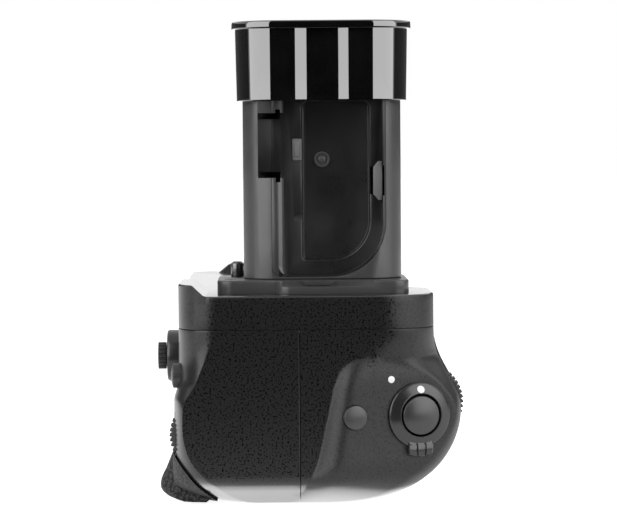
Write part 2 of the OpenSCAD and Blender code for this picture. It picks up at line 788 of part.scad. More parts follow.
module wheel_axle() {
    color([0.75, 0.75, 0.76]) translate([wheel_x, wheel_y, plate_z])
        cylinder(r = axle_r, h = mech_depth - wall - lie);
}

// Plan outline of the stem, set out by t
function stem_outline(t) =
    round_rect(stem_back_x - t, stem_y0 - t, stem_face + t, stem_y1 + t, max(1, stem_r + t));

// The holder's outline on the near face of the stem, set in by t
module holder_outline(t) {
    polygon(door_shape(holder_y0 + t, holder_z0 + t, holder_y1 - t, holder_z1 - t, 2.4, 14, 2));
}

// Notch for the hinge of the stored door, with a slot at each end of it
module hinge_notch() {
    box([stem_face - ledge_d, notch_y0, notch_z0], [stem_face + past, holder_y0 + ridge_w + past, notch_z1]);
    for (z = [notch_z0, notch_z1 - slot_h])
        box([stem_face - ledge_d - slot_d, notch_y0, z], [stem_face + past, holder_y0 + 2.3, z + slot_h]);
}

module stem_shell() {
    color([0.2, 0.2, 0.21]) difference() {
        translate([0, 0, flange_t + lie]) linear_extrude(stem_top - flange_t - lie) polygon(stem_outline(0));
        translate([0, 0, flange_t - past])
            linear_extrude(stem_top - crown_t - well_d - flange_t + past)
            intersection() {
                polygon(stem_outline(-stem_wall));
                translate([stem_back_x, stem_y0]) square([stem_t - holder_t - stem_wall, stem_w]);
            }
        along_x(stem_face - holder_t, stem_face + past) holder_outline(0);
        hinge_notch();
        // well for the contact block, and the way of the flex into it
        translate([0, 0, stem_top - well_d]) linear_extrude(well_d + past)
            polygon(round_rect(stem_x - 6, stem_y - well_half, stem_x + 5, stem_y + well_half, 1.5));
        box([flex_x - 0.5, stem_y - flex_w / 2 - 0.5, stem_top - crown_t - well_d - past],
            [flex_x + 1, stem_y + flex_w / 2 + 0.5, stem_top - well_d + past]);
    }
}

module stem_flange() {
    color([0.16, 0.16, 0.17]) difference() {
        union() {
            difference() {
                translate([0, 0, lie]) linear_extrude(flange_t - lie) {
                    polygon(round_rect(flange_rear, flange_y0, flange_near - 3, stem_y, 4));
                    polygon(round_rect(flange_rear, holder_y0 + 0.8, flange_near, flange_y1, 4));
                }
                box([flange_near - 0.8, holder_y0 + 2, flange_t - 1.6],
                    [flange_near + past, holder_y1 - 3.5, flange_t + past]);
            }
            along_x(flange_near - 1.5, flange_near - 0.3)
                polygon([[stem_y - 5.5, flange_t], [stem_y + 3, flange_t], [stem_y + 2, flange_t - 1.2],
                    [stem_y - 4.5, flange_t - 1.2]]);
        }
        flex_way();
        translate([pin_x, pin_y, -past]) cylinder(r = pin_root + lie, h = flange_t + 2 * past);
        for (p = flange_screws_at) translate([p[0], p[1], -past]) {
            cylinder(r = screw_shank_r + lie, h = flange_t + 2 * past);
            translate([0, 0, past + flange_t - 1.4]) cylinder(r = 1.5, h = 2 * past);
        }
    }
}

module door_holder() {
    color([0.2, 0.2, 0.21]) difference() {
        intersection() {
            along_x(stem_face - holder_t + lie, stem_face) holder_outline(lie);
            linear_extrude(stem_top) polygon(stem_outline(0));
        }
        // ledge for the rim of the door, then the deeper pocket behind it
        along_x(stem_face - ledge_d, stem_face + past)
            polygon(door_shape(holder_y0 + ridge_w, holder_z0 + 0.6, holder_y1 - 0.8, holder_z1 - 1,
                1.5, 13.2, 1));
        along_x(stem_face - ledge_d - pocket_d, stem_face)
            polygon(door_shape(pocket_y0, pocket_z0, pocket_y1, cap_z, 1, 10, 2));
        hinge_notch();
        // seats of the spring tab and the catch
        box([stem_face - ledge_d - 1, pocket_y0 - 2.7, cap_z - 15.3],
            [stem_face, pocket_y0 - 0.01, cap_z - 9.5]);
        box([stem_face - ledge_d - 1, pocket_y1 + 0.5, catch_z0 + 1.2],
            [stem_face, holder_y1 - 0.4, catch_z1 - 1.2]);
        box([stem_face - ledge_d - 0.8, pocket_y0 - 2.2, notch_z0 - 11.1],
            [stem_face, pocket_y0 + 0.01, notch_z0 - 9]);
    }
    // moulded boss in the pocket
    color([0.2, 0.2, 0.21]) translate([stem_face - ledge_d - pocket_d - 0.3, stem_y, cap_z - 15])
        rotate([0, 90, 0]) difference() {
            cylinder(r = 2, h = 0.7);
            translate([0, 0, 0.4]) cylinder(r = 1.4, h = 1);
        }
}

module door_catch() {
    x = stem_face - ledge_d;
    color([0.5, 0.5, 0.51]) {
        along_x(x + lie, x + 2.6)
            polygon([[holder_y1 - 0.9, catch_z0], [holder_y1 - 0.9, catch_z1], [holder_y1 - 1.9, catch_z1],
                [holder_y1 - 3.2, catch_z1 - 1.6], [holder_y1 - 3.2, catch_z0 + 1.6],
                [holder_y1 - 1.9, catch_z0]]);
        box([x - 1 + lie, holder_y1 - 2.2, catch_z0 + 1.3], [x + 0.5, holder_y1 - 0.9, catch_z1 - 1.3]);
    }
}

module door_spring() {
    x = stem_face - ledge_d;
    color([0.6, 0.6, 0.61]) {
        box([x - 1 + lie, pocket_y0 - 2.6, cap_z - 15.2], [x - 0.4, pocket_y0 - 0.1, cap_z - 9.6]);
        box([x - 0.6, pocket_y0 - 1.9, cap_z - 14.2], [x - 0.1, pocket_y0 - 0.8, cap_z - 10.6]);
    }
}

module stem_contact_block() {
    color([0.08, 0.08, 0.08]) difference() {
        translate([0, 0, stem_top - well_d + lie]) linear_extrude(well_d - 0.6)
            polygon(round_rect(stem_x - 6 + free, stem_y - well_half + free,
                stem_x + 5 - free, stem_y + well_half - free, 1.4));
        for (k = [-2:2]) let (y = stem_y + k * contact_step)
            box([stem_x - 3, y - 0.5, stem_top - well_d + 1.2], [stem_x + 4, y + 0.5, stem_top + past]);
    }
}

module stem_contacts() {
    color([0.83, 0.72, 0.42]) for (k = [-2:2])
        let (y = stem_y + k * contact_step)
            box([stem_x - 2.9, y - 0.35, stem_top - well_d + 1.2], [stem_x + 3.9, y + 0.35, stem_top - 0.4]);
}

module stem_flex() {
    color([0.75, 0.5, 0.2]) box([flex_x, stem_y - flex_w / 2, board_z + lie],
        [flex_x + flex_t, stem_y + flex_w / 2, stem_top - well_d]);
}

module guide_pin() {
    color([0.75, 0.75, 0.76]) translate([pin_x, pin_y, 0]) {
        translate([0, 0, flange_t + lie]) cylinder(r = pin_r, h = pin_h - 0.6 - lie);
        translate([0, 0, flange_t + pin_h - 0.6]) cylinder(r1 = pin_r, r2 = pin_r - 0.6, h = 0.6);
        translate([0, 0, -wall]) cylinder(r = pin_root, h = flange_t + wall + 0.5);
    }
}

module flange_screws() {
    color([0.3, 0.3, 0.31]) for (p = flange_screws_at) translate([p[0], p[1], 0]) {
        translate([0, 0, flange_t - 1.4 + lie]) cylinder(r = 1.4, h = 1.1);
        translate([0, 0, -wall - 1.5]) cylinder(r = screw_shank_r, h = flange_t + wall + 0.5);
    }
}

module contact_cap() {
    near = stem_face + cap_face + cap_play;
    far = stem_back_x - cap_face - cap_play;
    side = 1.25 + cap_play;
    r = stem_r + 2;
    color([0.05, 0.05, 0.05]) difference() {
        union() {
            translate([0, 0, cap_z]) linear_extrude(cap_top - cap_rim - cap_z + 0.1)
                polygon(round_rect(far, stem_y0 - side, near, stem_y1 + side, r));
            translate([0, 0, cap_top - cap_rim]) linear_extrude(cap_rim)
                polygon(round_rect(far - cap_rim_out, stem_y0 - side - cap_rim_out,
                    near + cap_rim_out, stem_y1 + side + cap_rim_out, r + cap_rim_out));
        }
        translate([0, 0, cap_z - past]) linear_extrude(cap_top - cap_roof - cap_z + past)
            polygon(stem_outline(cap_play));
        // finger grooves in both broad faces
        for (x = [near + groove_r - groove_d, far - groove_r + groove_d])
            translate([x, stem_y, cap_z - past])
                cylinder(r = groove_r, h = cap_top - cap_rim - cap_z + past, $fn = 128);
    }
}

// Domed button: head radius r, its crown at height h, down to depth d
module button_head(r, h, d, dome) {
    intersection() {
        translate([0, 0, -d]) cylinder(r = r, h = d + h + past);
        translate([0, 0, h - dome]) sphere(r = dome, $fn = 128);
    }
}

module shutter_button() {
    color([0.22, 0.22, 0.23]) on_pod(shutter_y) {
        button_head(shutter_r, ring_h + 0.9, button_seat + 0.2, 12);
        translate([0, 0, -button_seat - button_flange]) cylinder(r = sleeve_r - 0.3, h = button_flange);
        translate([0, 0, -plunger_end]) cylinder(r = plunger_r, h = plunger_end - button_seat);
    }
}

module lock_lever() {
    color([0.2, 0.2, 0.21]) on_pod(shutter_y) {
        rotate_extrude() polygon([[sleeve_in, -sleeve_end], [sleeve_r, -sleeve_end], [sleeve_r, lie * 3],
            [lever_r, lie * 3], [lever_r, ring_h - 0.7], [lever_r - 0.7, ring_h], [sleeve_in + 0.5, ring_h],
            [sleeve_in, ring_h - 0.5]]);
        // tab under the thumb, with its two grooves
        difference() {
            intersection() {
                translate([0, 0, lie * 3]) cylinder(r = tab_reach, h = ring_h + 0.5);
                box([lever_r - 0.6, -3.3, 0], [tab_reach + past, 3.3, ring_h + 0.6]);
            }
            for (y = [-1.1, 1.1])
                box([lever_r, y - 0.3, ring_h + 0.1], [tab_reach + past, y + 0.3, ring_h + 1]);
        }
    }
}

module lever_clip() {
    color([0.7, 0.7, 0.71]) on_pod(shutter_y) translate([0, 0, -sleeve_end]) difference() {
        cylinder(r = lever_r, h = clip_t);
        translate([0, 0, -past]) cylinder(r = sleeve_r, h = clip_t + 2 * past);
    }
}

module fn_button() {
    color([0.22, 0.22, 0.23]) on_pod(fn_y) {
        button_head(fn_r, 1, fn_seat + 0.2, 11);
        // lugs above and below, which hold it in the wall
        box([-fn_r - 0.7, -plunger_r, -fn_seat - button_flange], [fn_r + 0.7, plunger_r, -fn_seat]);
        translate([0, 0, -fn_plunger]) cylinder(r = plunger_r, h = fn_plunger - fn_seat);
    }
}

// Plate behind the pod that carries both switches, on posts from the pod's wall
module control_plate() {
    reach = (shutter_y - fn_y) / cos(pod_tilt);
    color([0.1, 0.3, 0.16]) on_pod(fn_y) {
        translate([0, 0, -control_back - control_t]) {
            box([-control_half, -switch_w * 0.75, 0], [control_half, reach + switch_w * 0.85, control_t]);
            for (x = [-control_post, control_post])
                translate([x, reach / 2, 0])
                    cylinder(r = lever_pin_r, h = control_back + control_t - skin - control_gap);
        }
    }
}

// Push switch on its board
module switch_form() {
    box([-switch_w / 2, -switch_w / 2, 0], [switch_w / 2, switch_w / 2, switch_h - 0.6]);
    cylinder(r = plunger_r, h = switch_h - lie);
}

module control_switches() {
    color([0.6, 0.6, 0.6]) for (y = [shutter_y, fn_y]) on_pod(y) translate([0, 0, -control_back + lie])
        switch_form();
}

// Round outline with teeth of depth d around it
function toothed_outline(teeth, r, d) = [for (k = [0:teeth - 1]) let (a = 360 / teeth)
    each [for (s = [[-0.36, d], [-0.16, 0], [0.16, 0], [0.36, d]])
        (r - s[1]) * [cos((k + s[0]) * a), sin((k + s[0]) * a)]]];

// Dial on the x axis, centred on its shaft
module dial_form() {
    outline = toothed_outline(dial_teeth, dial_r, dial_tooth);
    rotate([90, 0, 90]) translate([0, 0, -dial_w / 2]) difference() {
        linear_extrude(dial_w) polygon(outline);
        translate([0, 0, -past]) cylinder(r = shaft_r + run, h = dial_w + 2 * past);
    }
}

// Room around a dial, which opens the wall in front of it
module dial_window() {
    width = dial_w + 2 * ear_gap;
    rotate([0, 90, 0]) translate([0, 0, -width / 2]) cylinder(r = dial_r + dial_room, h = width);
}

module dial_shaft_form() {
    half = dial_w / 2 + ear_gap + ear_t;
    rotate([0, 90, 0]) translate([0, 0, -half]) cylinder(r = shaft_r, h = 2 * half);
}

// Ears on both sides of a dial, from its back web to the wall in front of it
module dial_bracket_form(reach) {
    half = dial_w / 2 + ear_gap;
    difference() {
        union() {
            for (x = [-half - ear_t, half])
                box([x, -dial_r - 2, -ear_h / 2], [x + ear_t, reach, ear_h / 2]);
            box([-half - ear_t, -dial_r - 2, -ear_h / 2], [half + ear_t, -dial_r - 0.8, ear_h / 2]);
        }
        rotate([0, 90, 0]) translate([0, 0, -half - ear_t - past])
            cylinder(r = shaft_r, h = 2 * (half + ear_t + past));
    }
}

module at_front_dial() {
    translate([front_dial_x, front_dial_y, -front_dial_drop]) children();
}

module at_rear_dial() {
    translate([rear_dial_x, rear_dial_y, -rear_dial_drop]) children();
}

module front_dial() {
    color([0.12, 0.12, 0.12]) at_front_dial() dial_form();
}

module front_dial_shaft() {
    color([0.75, 0.75, 0.76]) at_front_dial() dial_shaft_form();
}

module front_dial_bracket() {
    color([0.3, 0.3, 0.31]) at_front_dial() dial_bracket_form(grip_front - wall - 1 - front_dial_y);
}

module rear_dial() {
    color([0.12, 0.12, 0.12]) at_rear_dial() dial_form();
}

module rear_dial_shaft() {
    color([0.75, 0.75, 0.76]) at_rear_dial() dial_shaft_form();
}

module rear_dial_bracket() {
    color([0.3, 0.3, 0.31]) at_rear_dial() mirror([0, 1, 0])
        dial_bracket_form(rear_depth + rear_bulge - wall - 1 + rear_dial_y);
}

module joystick_collar() {
    color([0.12, 0.12, 0.12]) on_rear(stick_back, stick_drop) rotate_extrude()
        polygon([[stick_throat, lie], [collar_r, lie], [collar_r, collar_h - 0.5], [collar_r - 0.4, collar_h],
            [collar_r - 1, collar_h], [stick_throat, collar_h - 2]]);
}

module joystick_base() {
    x = stick_x;
    y = -rear_depth + wall;
    color([0.3, 0.3, 0.31]) difference() {
        box([x - 5.2, y + 0.4, -stick_drop - stick_base_low],
            [x + 5.2, y + stick_base_d, -stick_drop + stick_base_top]);
        on_rear(stick_back, stick_drop) translate([0, 0, -pivot_in - ball_r - 0.2])
            cylinder(r = ring_out + 0.4, h = 10);
        translate([x, -rear_depth + pivot_in, -stick_drop]) rotate([0, 90, 0]) translate([0, 0, -10])
            cylinder(r = pivot_pin + run, h = 20);
    }
}

// Ring that tips about the x axis on two pins
module joystick_gimbal() {
    color([0.7, 0.7, 0.71]) on_rear(stick_back, stick_drop) translate([0, 0, -pivot_in]) {
        difference() {
            translate([0, 0, -ring_t / 2]) cylinder(r = ring_out, h = ring_t);
            translate([0, 0, -past]) cylinder(r = ring_in, h = 2 * past);
            rotate([90, 0, 0]) translate([0, 0, -2 * ring_out])
                cylinder(r = cross_pin + run, h = 4 * ring_out);
        }
        for (s = [-1, 1]) rotate([0, s * 90, 0]) translate([0, 0, ring_out - 0.2])
            cylinder(r = pivot_pin, h = 1.6);
    }
}

module joystick_post() {
    color([0.3, 0.3, 0.31]) on_rear(stick_back, stick_drop) {
        translate([0, 0, -pivot_in]) {
            sphere(r = ball_r);
            // cross pins in the ring
            rotate([90, 0, 0]) translate([0, 0, -ring_out]) cylinder(r = cross_pin, h = 2 * ring_out);
        }
        translate([0, 0, -pivot_in]) cylinder(r = 1.4, h = pivot_in + collar_h + 1.2);
    }
}

// Cap with teeth around its rim, pressed inwards along the post
module joystick_cap() {
    teeth = 18;
    outline = toothed_outline(teeth, stick_cap_r, 0.5);
    color([0.12, 0.12, 0.12]) on_rear(stick_back, stick_drop) translate([0, 0, collar_h + 0.3]) difference() {
        linear_extrude(2.1) polygon(outline);
        translate([0, 0, -past]) cylinder(r = 1.4 + run, h = past + 1.4);
        translate([0, 0, 2.1 + 5.6]) sphere(r = 6, $fn = 128);
    }
}

module af_button() {
    color([0.2, 0.2, 0.21]) on_rear(af_back, af_drop) {
        button_head(af_r, 2, af_seat + 0.2, 9);
        translate([0, 0, -af_seat - button_flange]) cylinder(r = af_r + 0.65, h = button_flange);
        translate([0, 0, -af_plunger]) cylinder(r = plunger_r, h = 1);
    }
}

// Small board behind the AF button, on two posts from the rear wall
module af_board() {
    color([0.1, 0.3, 0.16]) on_rear(af_back, af_drop) translate([0, 0, -af_board_d - 1]) {
        box([-switch_w * 0.55, -switch_w * 0.6, 0], [switch_w * 0.92, af_post_up + 2, 1]);
        for (x = [-1.6, 2])
            translate([x, af_post_up, 0]) cylinder(r = 1.4, h = af_board_d + 1 - wall - af_post_gap);
    }
}

module af_switch() {
    color([0.6, 0.6, 0.6]) on_rear(af_back, af_drop) translate([0, 0, -af_board_d + lie]) switch_form();
}

module battery_tray() {
    color([0.14, 0.14, 0.15]) difference() {
        box([cover_x + lie, -tray_half, tray_z], [tray_x1, tray_half, tray_z + tray_h]);
        for (k = [0, 1]) let (x = tray_x0 + tray_wall + k * (bay_len + tray_wall))
            box([x, -bay_w / 2, tray_z + tray_floor], [x + bay_len, bay_w / 2, tray_z + tray_h + past]);
        box([cover_x - past, -tray_half - past, tray_z + tray_floor],
            [tray_x0, tray_half + past, tray_z + tray_h + past]);
    }
}

module tray_cover() {
    color([0.13, 0.13, 0.14]) difference() {
        intersection() {
            translate([0, 0, cover_z0]) linear_extrude(cover_z1 - cover_z0) polygon(plan(-case_h / 2, 0));
            box([-far_len - past, -cover_half, cover_z0 - past], [cover_x, cover_half, cover_z1 + past]);
        }
        translate([-far_len - past, 0, key_z]) rotate([0, 90, 0]) {
            cylinder(r = key_r + free, h = past + key_d + 0.1);
            cylinder(r = key_shaft + run, h = cover_t + 2 * past);
        }
    }
}

module tray_key() {
    color([0.18, 0.18, 0.19]) translate([-far_len, 0, key_z]) {
        rotate([0, 90, 0]) {
            cylinder(r = key_r, h = key_d);
            cylinder(r = key_shaft, h = cover_t + 0.3);
        }
        box([-0.9, -key_r + 1, -1.1], [0.2, key_r - 1, 1.1]);
    }
}

// Tongue that turns up behind the end wall of the case
module tray_tongue() {
    color([0.72, 0.72, 0.73]) box([cover_x + 0.3, -2, key_z - 2],
        [cover_x + key_room - 0.15, key_reach, key_z + 2]);
}

module tray_contacts() {
    color([0.83, 0.72, 0.42]) for (k = [-2:2])
        box([tray_x1 + 0.01, k * pad_step - pad_w / 2, tray_z + pad_z],
            [tray_x1 + contact_room * 0.3, k * pad_step + pad_w / 2, tray_z + pad_z + pad_h]);
}

module tripod_socket() {
    color([0.72, 0.7, 0.66]) translate([0, 0, -case_h]) difference() {
        union() {
            cylinder(r = socket_out, h = socket_len + 0.8);
            translate([0, 0, wall + lie]) cylinder(r = socket_flange, h = 1.5);
        }
        translate([0, 0, -past]) cylinder(r = socket_r, h = socket_len + past);
    }
}

module base_screws() {
    color([0.3, 0.3, 0.31]) for (x = legs_x, y = [-leg_y, leg_y]) translate([x, y, -case_h + 0.3]) {
        cylinder(r = screw_head_r, h = 0.95);
        cylinder(r = screw_shank_r, h = foot_h - 0.5);
    }
}

top_case();
front_case();
rear_case();
front_grip_rubber();
thumb_rest_rubber();
battery_chamber();
chamber_contacts();
main_board();
mechanism_plate();
attachment_screw();
attachment_wheel();
wheel_axle();
stem_shell();
stem_flange();
door_holder();
door_catch();
door_spring();
stem_contact_block();
stem_contacts();
stem_flex();
guide_pin();
flange_screws();
contact_cap();
shutter_button();
lock_lever();
lever_clip();
fn_button();
control_plate();
control_switches();
front_dial();
front_dial_shaft();
front_dial_bracket();
rear_dial();
rear_dial_shaft();
rear_dial_bracket();
joystick_collar();
joystick_base();
joystick_gimbal();
joystick_post();
joystick_cap();
af_button();
af_board();
af_switch();
battery_tray();
tray_cover();
tray_key();
tray_tongue();
tray_contacts();
tripod_socket();
base_screws();
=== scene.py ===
# %% [markdown]
# A battery grip screws to the base of a camera. It holds two batteries, repeats the camera's
# controls for upright pictures, and sends its stem up into the camera's own battery chamber.
# The solids of the frame give every piece its place. This lesson dresses them with finer shells,
# rounded edges and finishes, and then sets up the studio.

# %% Load the frame
import math

import bmesh
import bpy
import numpy as np
from mathutils import Matrix, Vector


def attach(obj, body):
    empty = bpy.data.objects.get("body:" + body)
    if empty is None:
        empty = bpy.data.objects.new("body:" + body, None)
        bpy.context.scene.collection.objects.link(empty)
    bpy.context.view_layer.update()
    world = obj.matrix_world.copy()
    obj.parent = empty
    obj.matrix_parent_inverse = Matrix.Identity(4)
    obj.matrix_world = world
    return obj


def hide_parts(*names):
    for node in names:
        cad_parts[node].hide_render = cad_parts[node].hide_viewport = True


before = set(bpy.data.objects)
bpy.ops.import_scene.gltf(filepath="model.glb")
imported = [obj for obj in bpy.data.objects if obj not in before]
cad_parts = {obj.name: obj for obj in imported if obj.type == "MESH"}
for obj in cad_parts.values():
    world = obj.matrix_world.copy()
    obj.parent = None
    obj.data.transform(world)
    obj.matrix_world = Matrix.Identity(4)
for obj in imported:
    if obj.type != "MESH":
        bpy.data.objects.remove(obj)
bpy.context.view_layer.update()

MM = 0.001

# %% [markdown]
# Moulded plastic has no sharp edges and its skins are smooth, so the pieces here come from a few
# helpers: rings joined into a skin, outlines turned about an axis, and cutting tools that open
# holes. A subdivision surface would also give soft forms, but it would shrink away from the
# measured outlines, so the rings are simply drawn fine enough.

# %% Helpers that make meshes, in millimetres
def piece_from(name, shape):
    """A new object from an edited shape, which is used up."""
    mesh = bpy.data.meshes.new(name)
    shape.to_mesh(mesh)
    shape.free()
    piece = bpy.data.objects.new(name, mesh)
    bpy.context.scene.collection.objects.link(piece)
    return piece


def solid(name, points, faces):
    """A mesh piece from points in millimetres, with its faces turned outwards."""
    mesh = bpy.data.meshes.new(name)
    mesh.from_pydata([tuple(c * MM for c in p) for p in np.asarray(points, float)], [], faces)
    shape = bmesh.new()
    shape.from_mesh(mesh)
    bpy.data.meshes.remove(mesh)
    bmesh.ops.remove_doubles(shape, verts=shape.verts, dist=2e-7)
    bmesh.ops.recalc_face_normals(shape, faces=shape.faces)
    return piece_from(name, shape)


def at_height(outline, z):
    return np.column_stack([outline, np.full(len(outline), z)])


def at_depth(outline, x):
    return np.column_stack([np.full(len(outline), x), outline])


def pair(a, b):
    """Points from two rows of numbers, either of which may be a single number."""
    return np.column_stack(np.broadcast_arrays(a, b))


def circle(r, around):
    """Points on a circle; r may also be one radius for each point."""
    angle = np.linspace(0, 2 * math.pi, around, endpoint=False)
    return pair(r * np.cos(angle), r * np.sin(angle))


def placed(points, place):
    """Points given along the axes of a place, moved to its origin."""
    origin, axes = place
    return np.asarray(origin) + np.asarray(points) @ np.asarray(axes)


def grid_faces(index):
    """Four-sided faces over a grid of point numbers."""
    quads = [index[:-1, :-1], index[:-1, 1:], index[1:, 1:], index[1:, :-1]]
    return np.stack(quads, -1).reshape(-1, 4).tolist()


def sheet(name, outer, inner):
    """A closed sheet between two grids of points."""
    outer, inner = np.asarray(outer, float), np.asarray(inner, float)
    tall, wide = outer.shape[:2]
    index, count = np.arange(tall * wide).reshape(tall, wide), tall * wide
    faces = grid_faces(index) + grid_faces(index + count)
    border = index[0].tolist() + index[1:, -1].tolist()
    border += index[-1, -2::-1].tolist() + index[-2:0:-1, 0].tolist()
    faces += [[p, q, q + count, p + count] for p, q in zip(border, border[1:] + border[:1])]
    return solid(name, np.vstack([outer.reshape(-1, 3), inner.reshape(-1, 3)]), faces)


def loft(name, rings, capped=True):
    """Skin over closed rings of equally many points, with a flat cap at both ends."""
    rings = np.asarray(rings, float)
    count, around = rings.shape[:2]
    index = np.arange(count * around).reshape(count, around)
    turned = np.roll(index, -1, axis=1)
    faces = np.stack([index[:-1], turned[:-1], turned[1:], index[1:]], axis=-1).reshape(-1, 4).tolist()
    if capped:
        faces += [index[0][::-1].tolist(), index[-1].tolist()]
    else:
        faces += np.stack([index[-1], turned[-1], turned[0], index[0]], axis=-1).tolist()
    return solid(name, rings.reshape(-1, 3), faces)


def prism(name, outline, start, end, axis="x"):
    """An outline drawn out along one axis."""
    order = {"x": (2, 0, 1), "z": (0, 1, 2)}[axis]
    return loft(name, [at_height(np.asarray(outline, float), level)[:, order] for level in (start, end)])


def block(name, low, high):
    """A box between two corners."""
    return prism(name, [(low[0], low[1]), (high[0], low[1]), (high[0], high[1]), (low[0], high[1])],
                 low[2], high[2], "z")


def turned(name, profile, place, around=72, ring=False):
    """A profile of (radius, height) turned about the local z axis of a place."""
    rings = [placed(at_height(circle(r, around), h), place) for r, h in profile]
    return loft(name, rings, capped=not ring)


def corner(cx, cy, r, start, count=10):
    """Quarter circle of a rounded outline."""
    angle = np.radians(np.linspace(start, start + 90, count + 1))
    return pair(cx + r * np.cos(angle), cy + r * np.sin(angle))


def round_rect(x0, y0, x1, y1, r, count=10):
    return np.vstack([corner(x1 - r, y1 - r, r, 0, count), corner(x0 + r, y1 - r, r, 90, count),
                      corner(x0 + r, y0 + r, r, 180, count), corner(x1 - r, y0 + r, r, 270, count)])


def door_outline(y0, z0, y1, z1, low_left, low_right, upper):
    """Outline of a battery door: a radius of its own at each lower corner."""
    return np.vstack([corner(y1 - upper, z1 - upper, upper, 0, 8),
                      corner(y0 + upper, z1 - upper, upper, 90, 8),
                      corner(y0 + low_left, z0 + low_left, low_left, 180, 10),
                      corner(y1 - low_right, z0 + low_right, low_right, 270, 24)])


print("helpers ready")

# %% [markdown]
# Holes are cut with boolean tools, and small round edges come from a bevel that only takes
# edges with a clear angle. Both are applied at once, so that each piece ends as a plain mesh.

# %% Helpers that cut, round and dress
def settle(piece):
    """Apply the modifiers of a piece to its mesh."""
    bpy.context.view_layer.update()
    graph = bpy.context.evaluated_depsgraph_get()
    mesh = bpy.data.meshes.new_from_object(piece.evaluated_get(graph))
    piece.modifiers.clear()
    old, piece.data = piece.data, mesh
    bpy.data.meshes.remove(old)


def carve(piece, tools, how="DIFFERENCE", solver="EXACT"):
    """Cut a piece with tools, which are used up."""
    for tool in tools:
        step = piece.modifiers.new("carve", "BOOLEAN")
        step.operation = how
        step.solver = solver
        step.object = tool
    settle(piece)
    for tool in tools:
        bpy.data.objects.remove(tool)


def round_edges(piece, width, steps=2, angle=40):
    """Round the edges that turn more sharply than an angle."""
    bevel = piece.modifiers.new("round", "BEVEL")
    bevel.width = width * MM
    bevel.segments = steps
    bevel.limit_method = "ANGLE"
    bevel.angle_limit = math.radians(angle)
    bevel.use_clamp_overlap = True
    settle(piece)


def joined(name, pieces):
    """Several meshes as one piece."""
    shape = bmesh.new()
    for piece in pieces:
        shape.from_mesh(piece.data)
        bpy.data.objects.remove(piece)
    return piece_from(name, shape)


def copy_of(node, name):
    """A mesh copy of a solid of the frame, with its doubled points merged."""
    shape = bmesh.new()
    shape.from_mesh(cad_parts[node].data)
    bmesh.ops.remove_doubles(shape, verts=shape.verts, dist=1e-6)
    bmesh.ops.dissolve_limit(shape, angle_limit=math.radians(1.0), verts=shape.verts, edges=shape.edges)
    return piece_from(name, shape)


def second_finish(piece, finish, chosen):
    """Give another finish to the faces chosen by their centre in millimetres and their normal."""
    piece.data.materials.append(finish)
    for face in piece.data.polygons:
        face.material_index = int(chosen(face.center / MM, face.normal))


pieces_made = []


def dress(piece, body, slot, finish, *nodes, angle=32):
    """Smooth shading, broken at sharp turns, and a finish, a body and the nodes replaced; the slot is not
    used.
    """
    piece.data.shade_smooth()
    piece.data.set_sharp_from_angle(angle=math.radians(angle))
    piece.data.materials.clear()
    piece.data.materials.append(finish)
    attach(piece, body)
    if nodes:
        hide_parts(*nodes)
    pieces_made.append(piece.name)
    return piece


print("cutting and dressing helpers ready")

# %% [markdown]
# Nearly every finish on the grip is black, so the eye tells them apart by grain and gloss alone.
# Each material mixes noise at the true size of its grain into colour, roughness and bump. Texture
# coordinates come from the object, so the grain stays put when a piece moves.

# %% A helper for grained finishes
def put(node, numbers):
    """Set constants on the sockets of a node."""
    for socket, number in numbers.items():
        node.inputs[socket].default_value = number


def new_material(name):
    material = bpy.data.materials.new(name)
    material.use_nodes = True
    return material, material.node_tree.nodes, material.node_tree.links


def finish(name, dark, light, rough, grain_mm, bump_mm, metallic=0.0, specular=0.5, spots=None,
           cells=False, coat=0.0, coat_rough=0.03, ior=1.5, rough_spread=0.08):
    """A procedural finish: grain of a given size in colour, roughness and height."""
    material, nodes, links = new_material(name)
    shader = nodes["Principled BSDF"]
    put(shader, {"Metallic": metallic, "Specular IOR Level": specular, "IOR": ior,
                 "Coat Weight": coat, "Coat Roughness": coat_rough})
    place = nodes.new("ShaderNodeTexCoord")
    if cells:
        grain = nodes.new("ShaderNodeTexVoronoi")
        grain.feature = "SMOOTH_F1"
        put(grain, {"Smoothness": 0.6})
        height = grain.outputs["Distance"]
    else:
        grain = nodes.new("ShaderNodeTexNoise")
        put(grain, {"Detail": 2.0})
        height = grain.outputs["Fac"]
    put(grain, {"Scale": 1.0 / (grain_mm * MM)})
    cloud = nodes.new("ShaderNodeTexNoise")
    put(cloud, {"Scale": 90.0, "Detail": 3.0})
    for texture in (grain, cloud):
        links.new(place.outputs["Object"], texture.inputs["Vector"])
    ramp = nodes.new("ShaderNodeValToRGB")
    for stop, position, colour in zip(ramp.color_ramp.elements, spots or (0.3, 0.7), (dark, light)):
        stop.position, stop.color = position, (*colour, 1.0)
    links.new(height, ramp.inputs["Fac"])
    links.new(ramp.outputs["Color"], shader.inputs["Base Color"])
    spread = nodes.new("ShaderNodeMapRange")
    put(spread, {"From Min": 0.3, "From Max": 0.7,
                 "To Min": rough - rough_spread, "To Max": rough + rough_spread})
    links.new(cloud.outputs["Fac"], spread.inputs["Value"])
    links.new(spread.outputs["Result"], shader.inputs["Roughness"])
    bump = nodes.new("ShaderNodeBump")
    put(bump, {"Strength": 1.0, "Distance": bump_mm * MM})
    links.new(height, bump.inputs["Height"])
    links.new(bump.outputs["Normal"], shader.inputs["Normal"])
    return material


def grey(value):
    return (value, value, value)


print("finish helper ready")
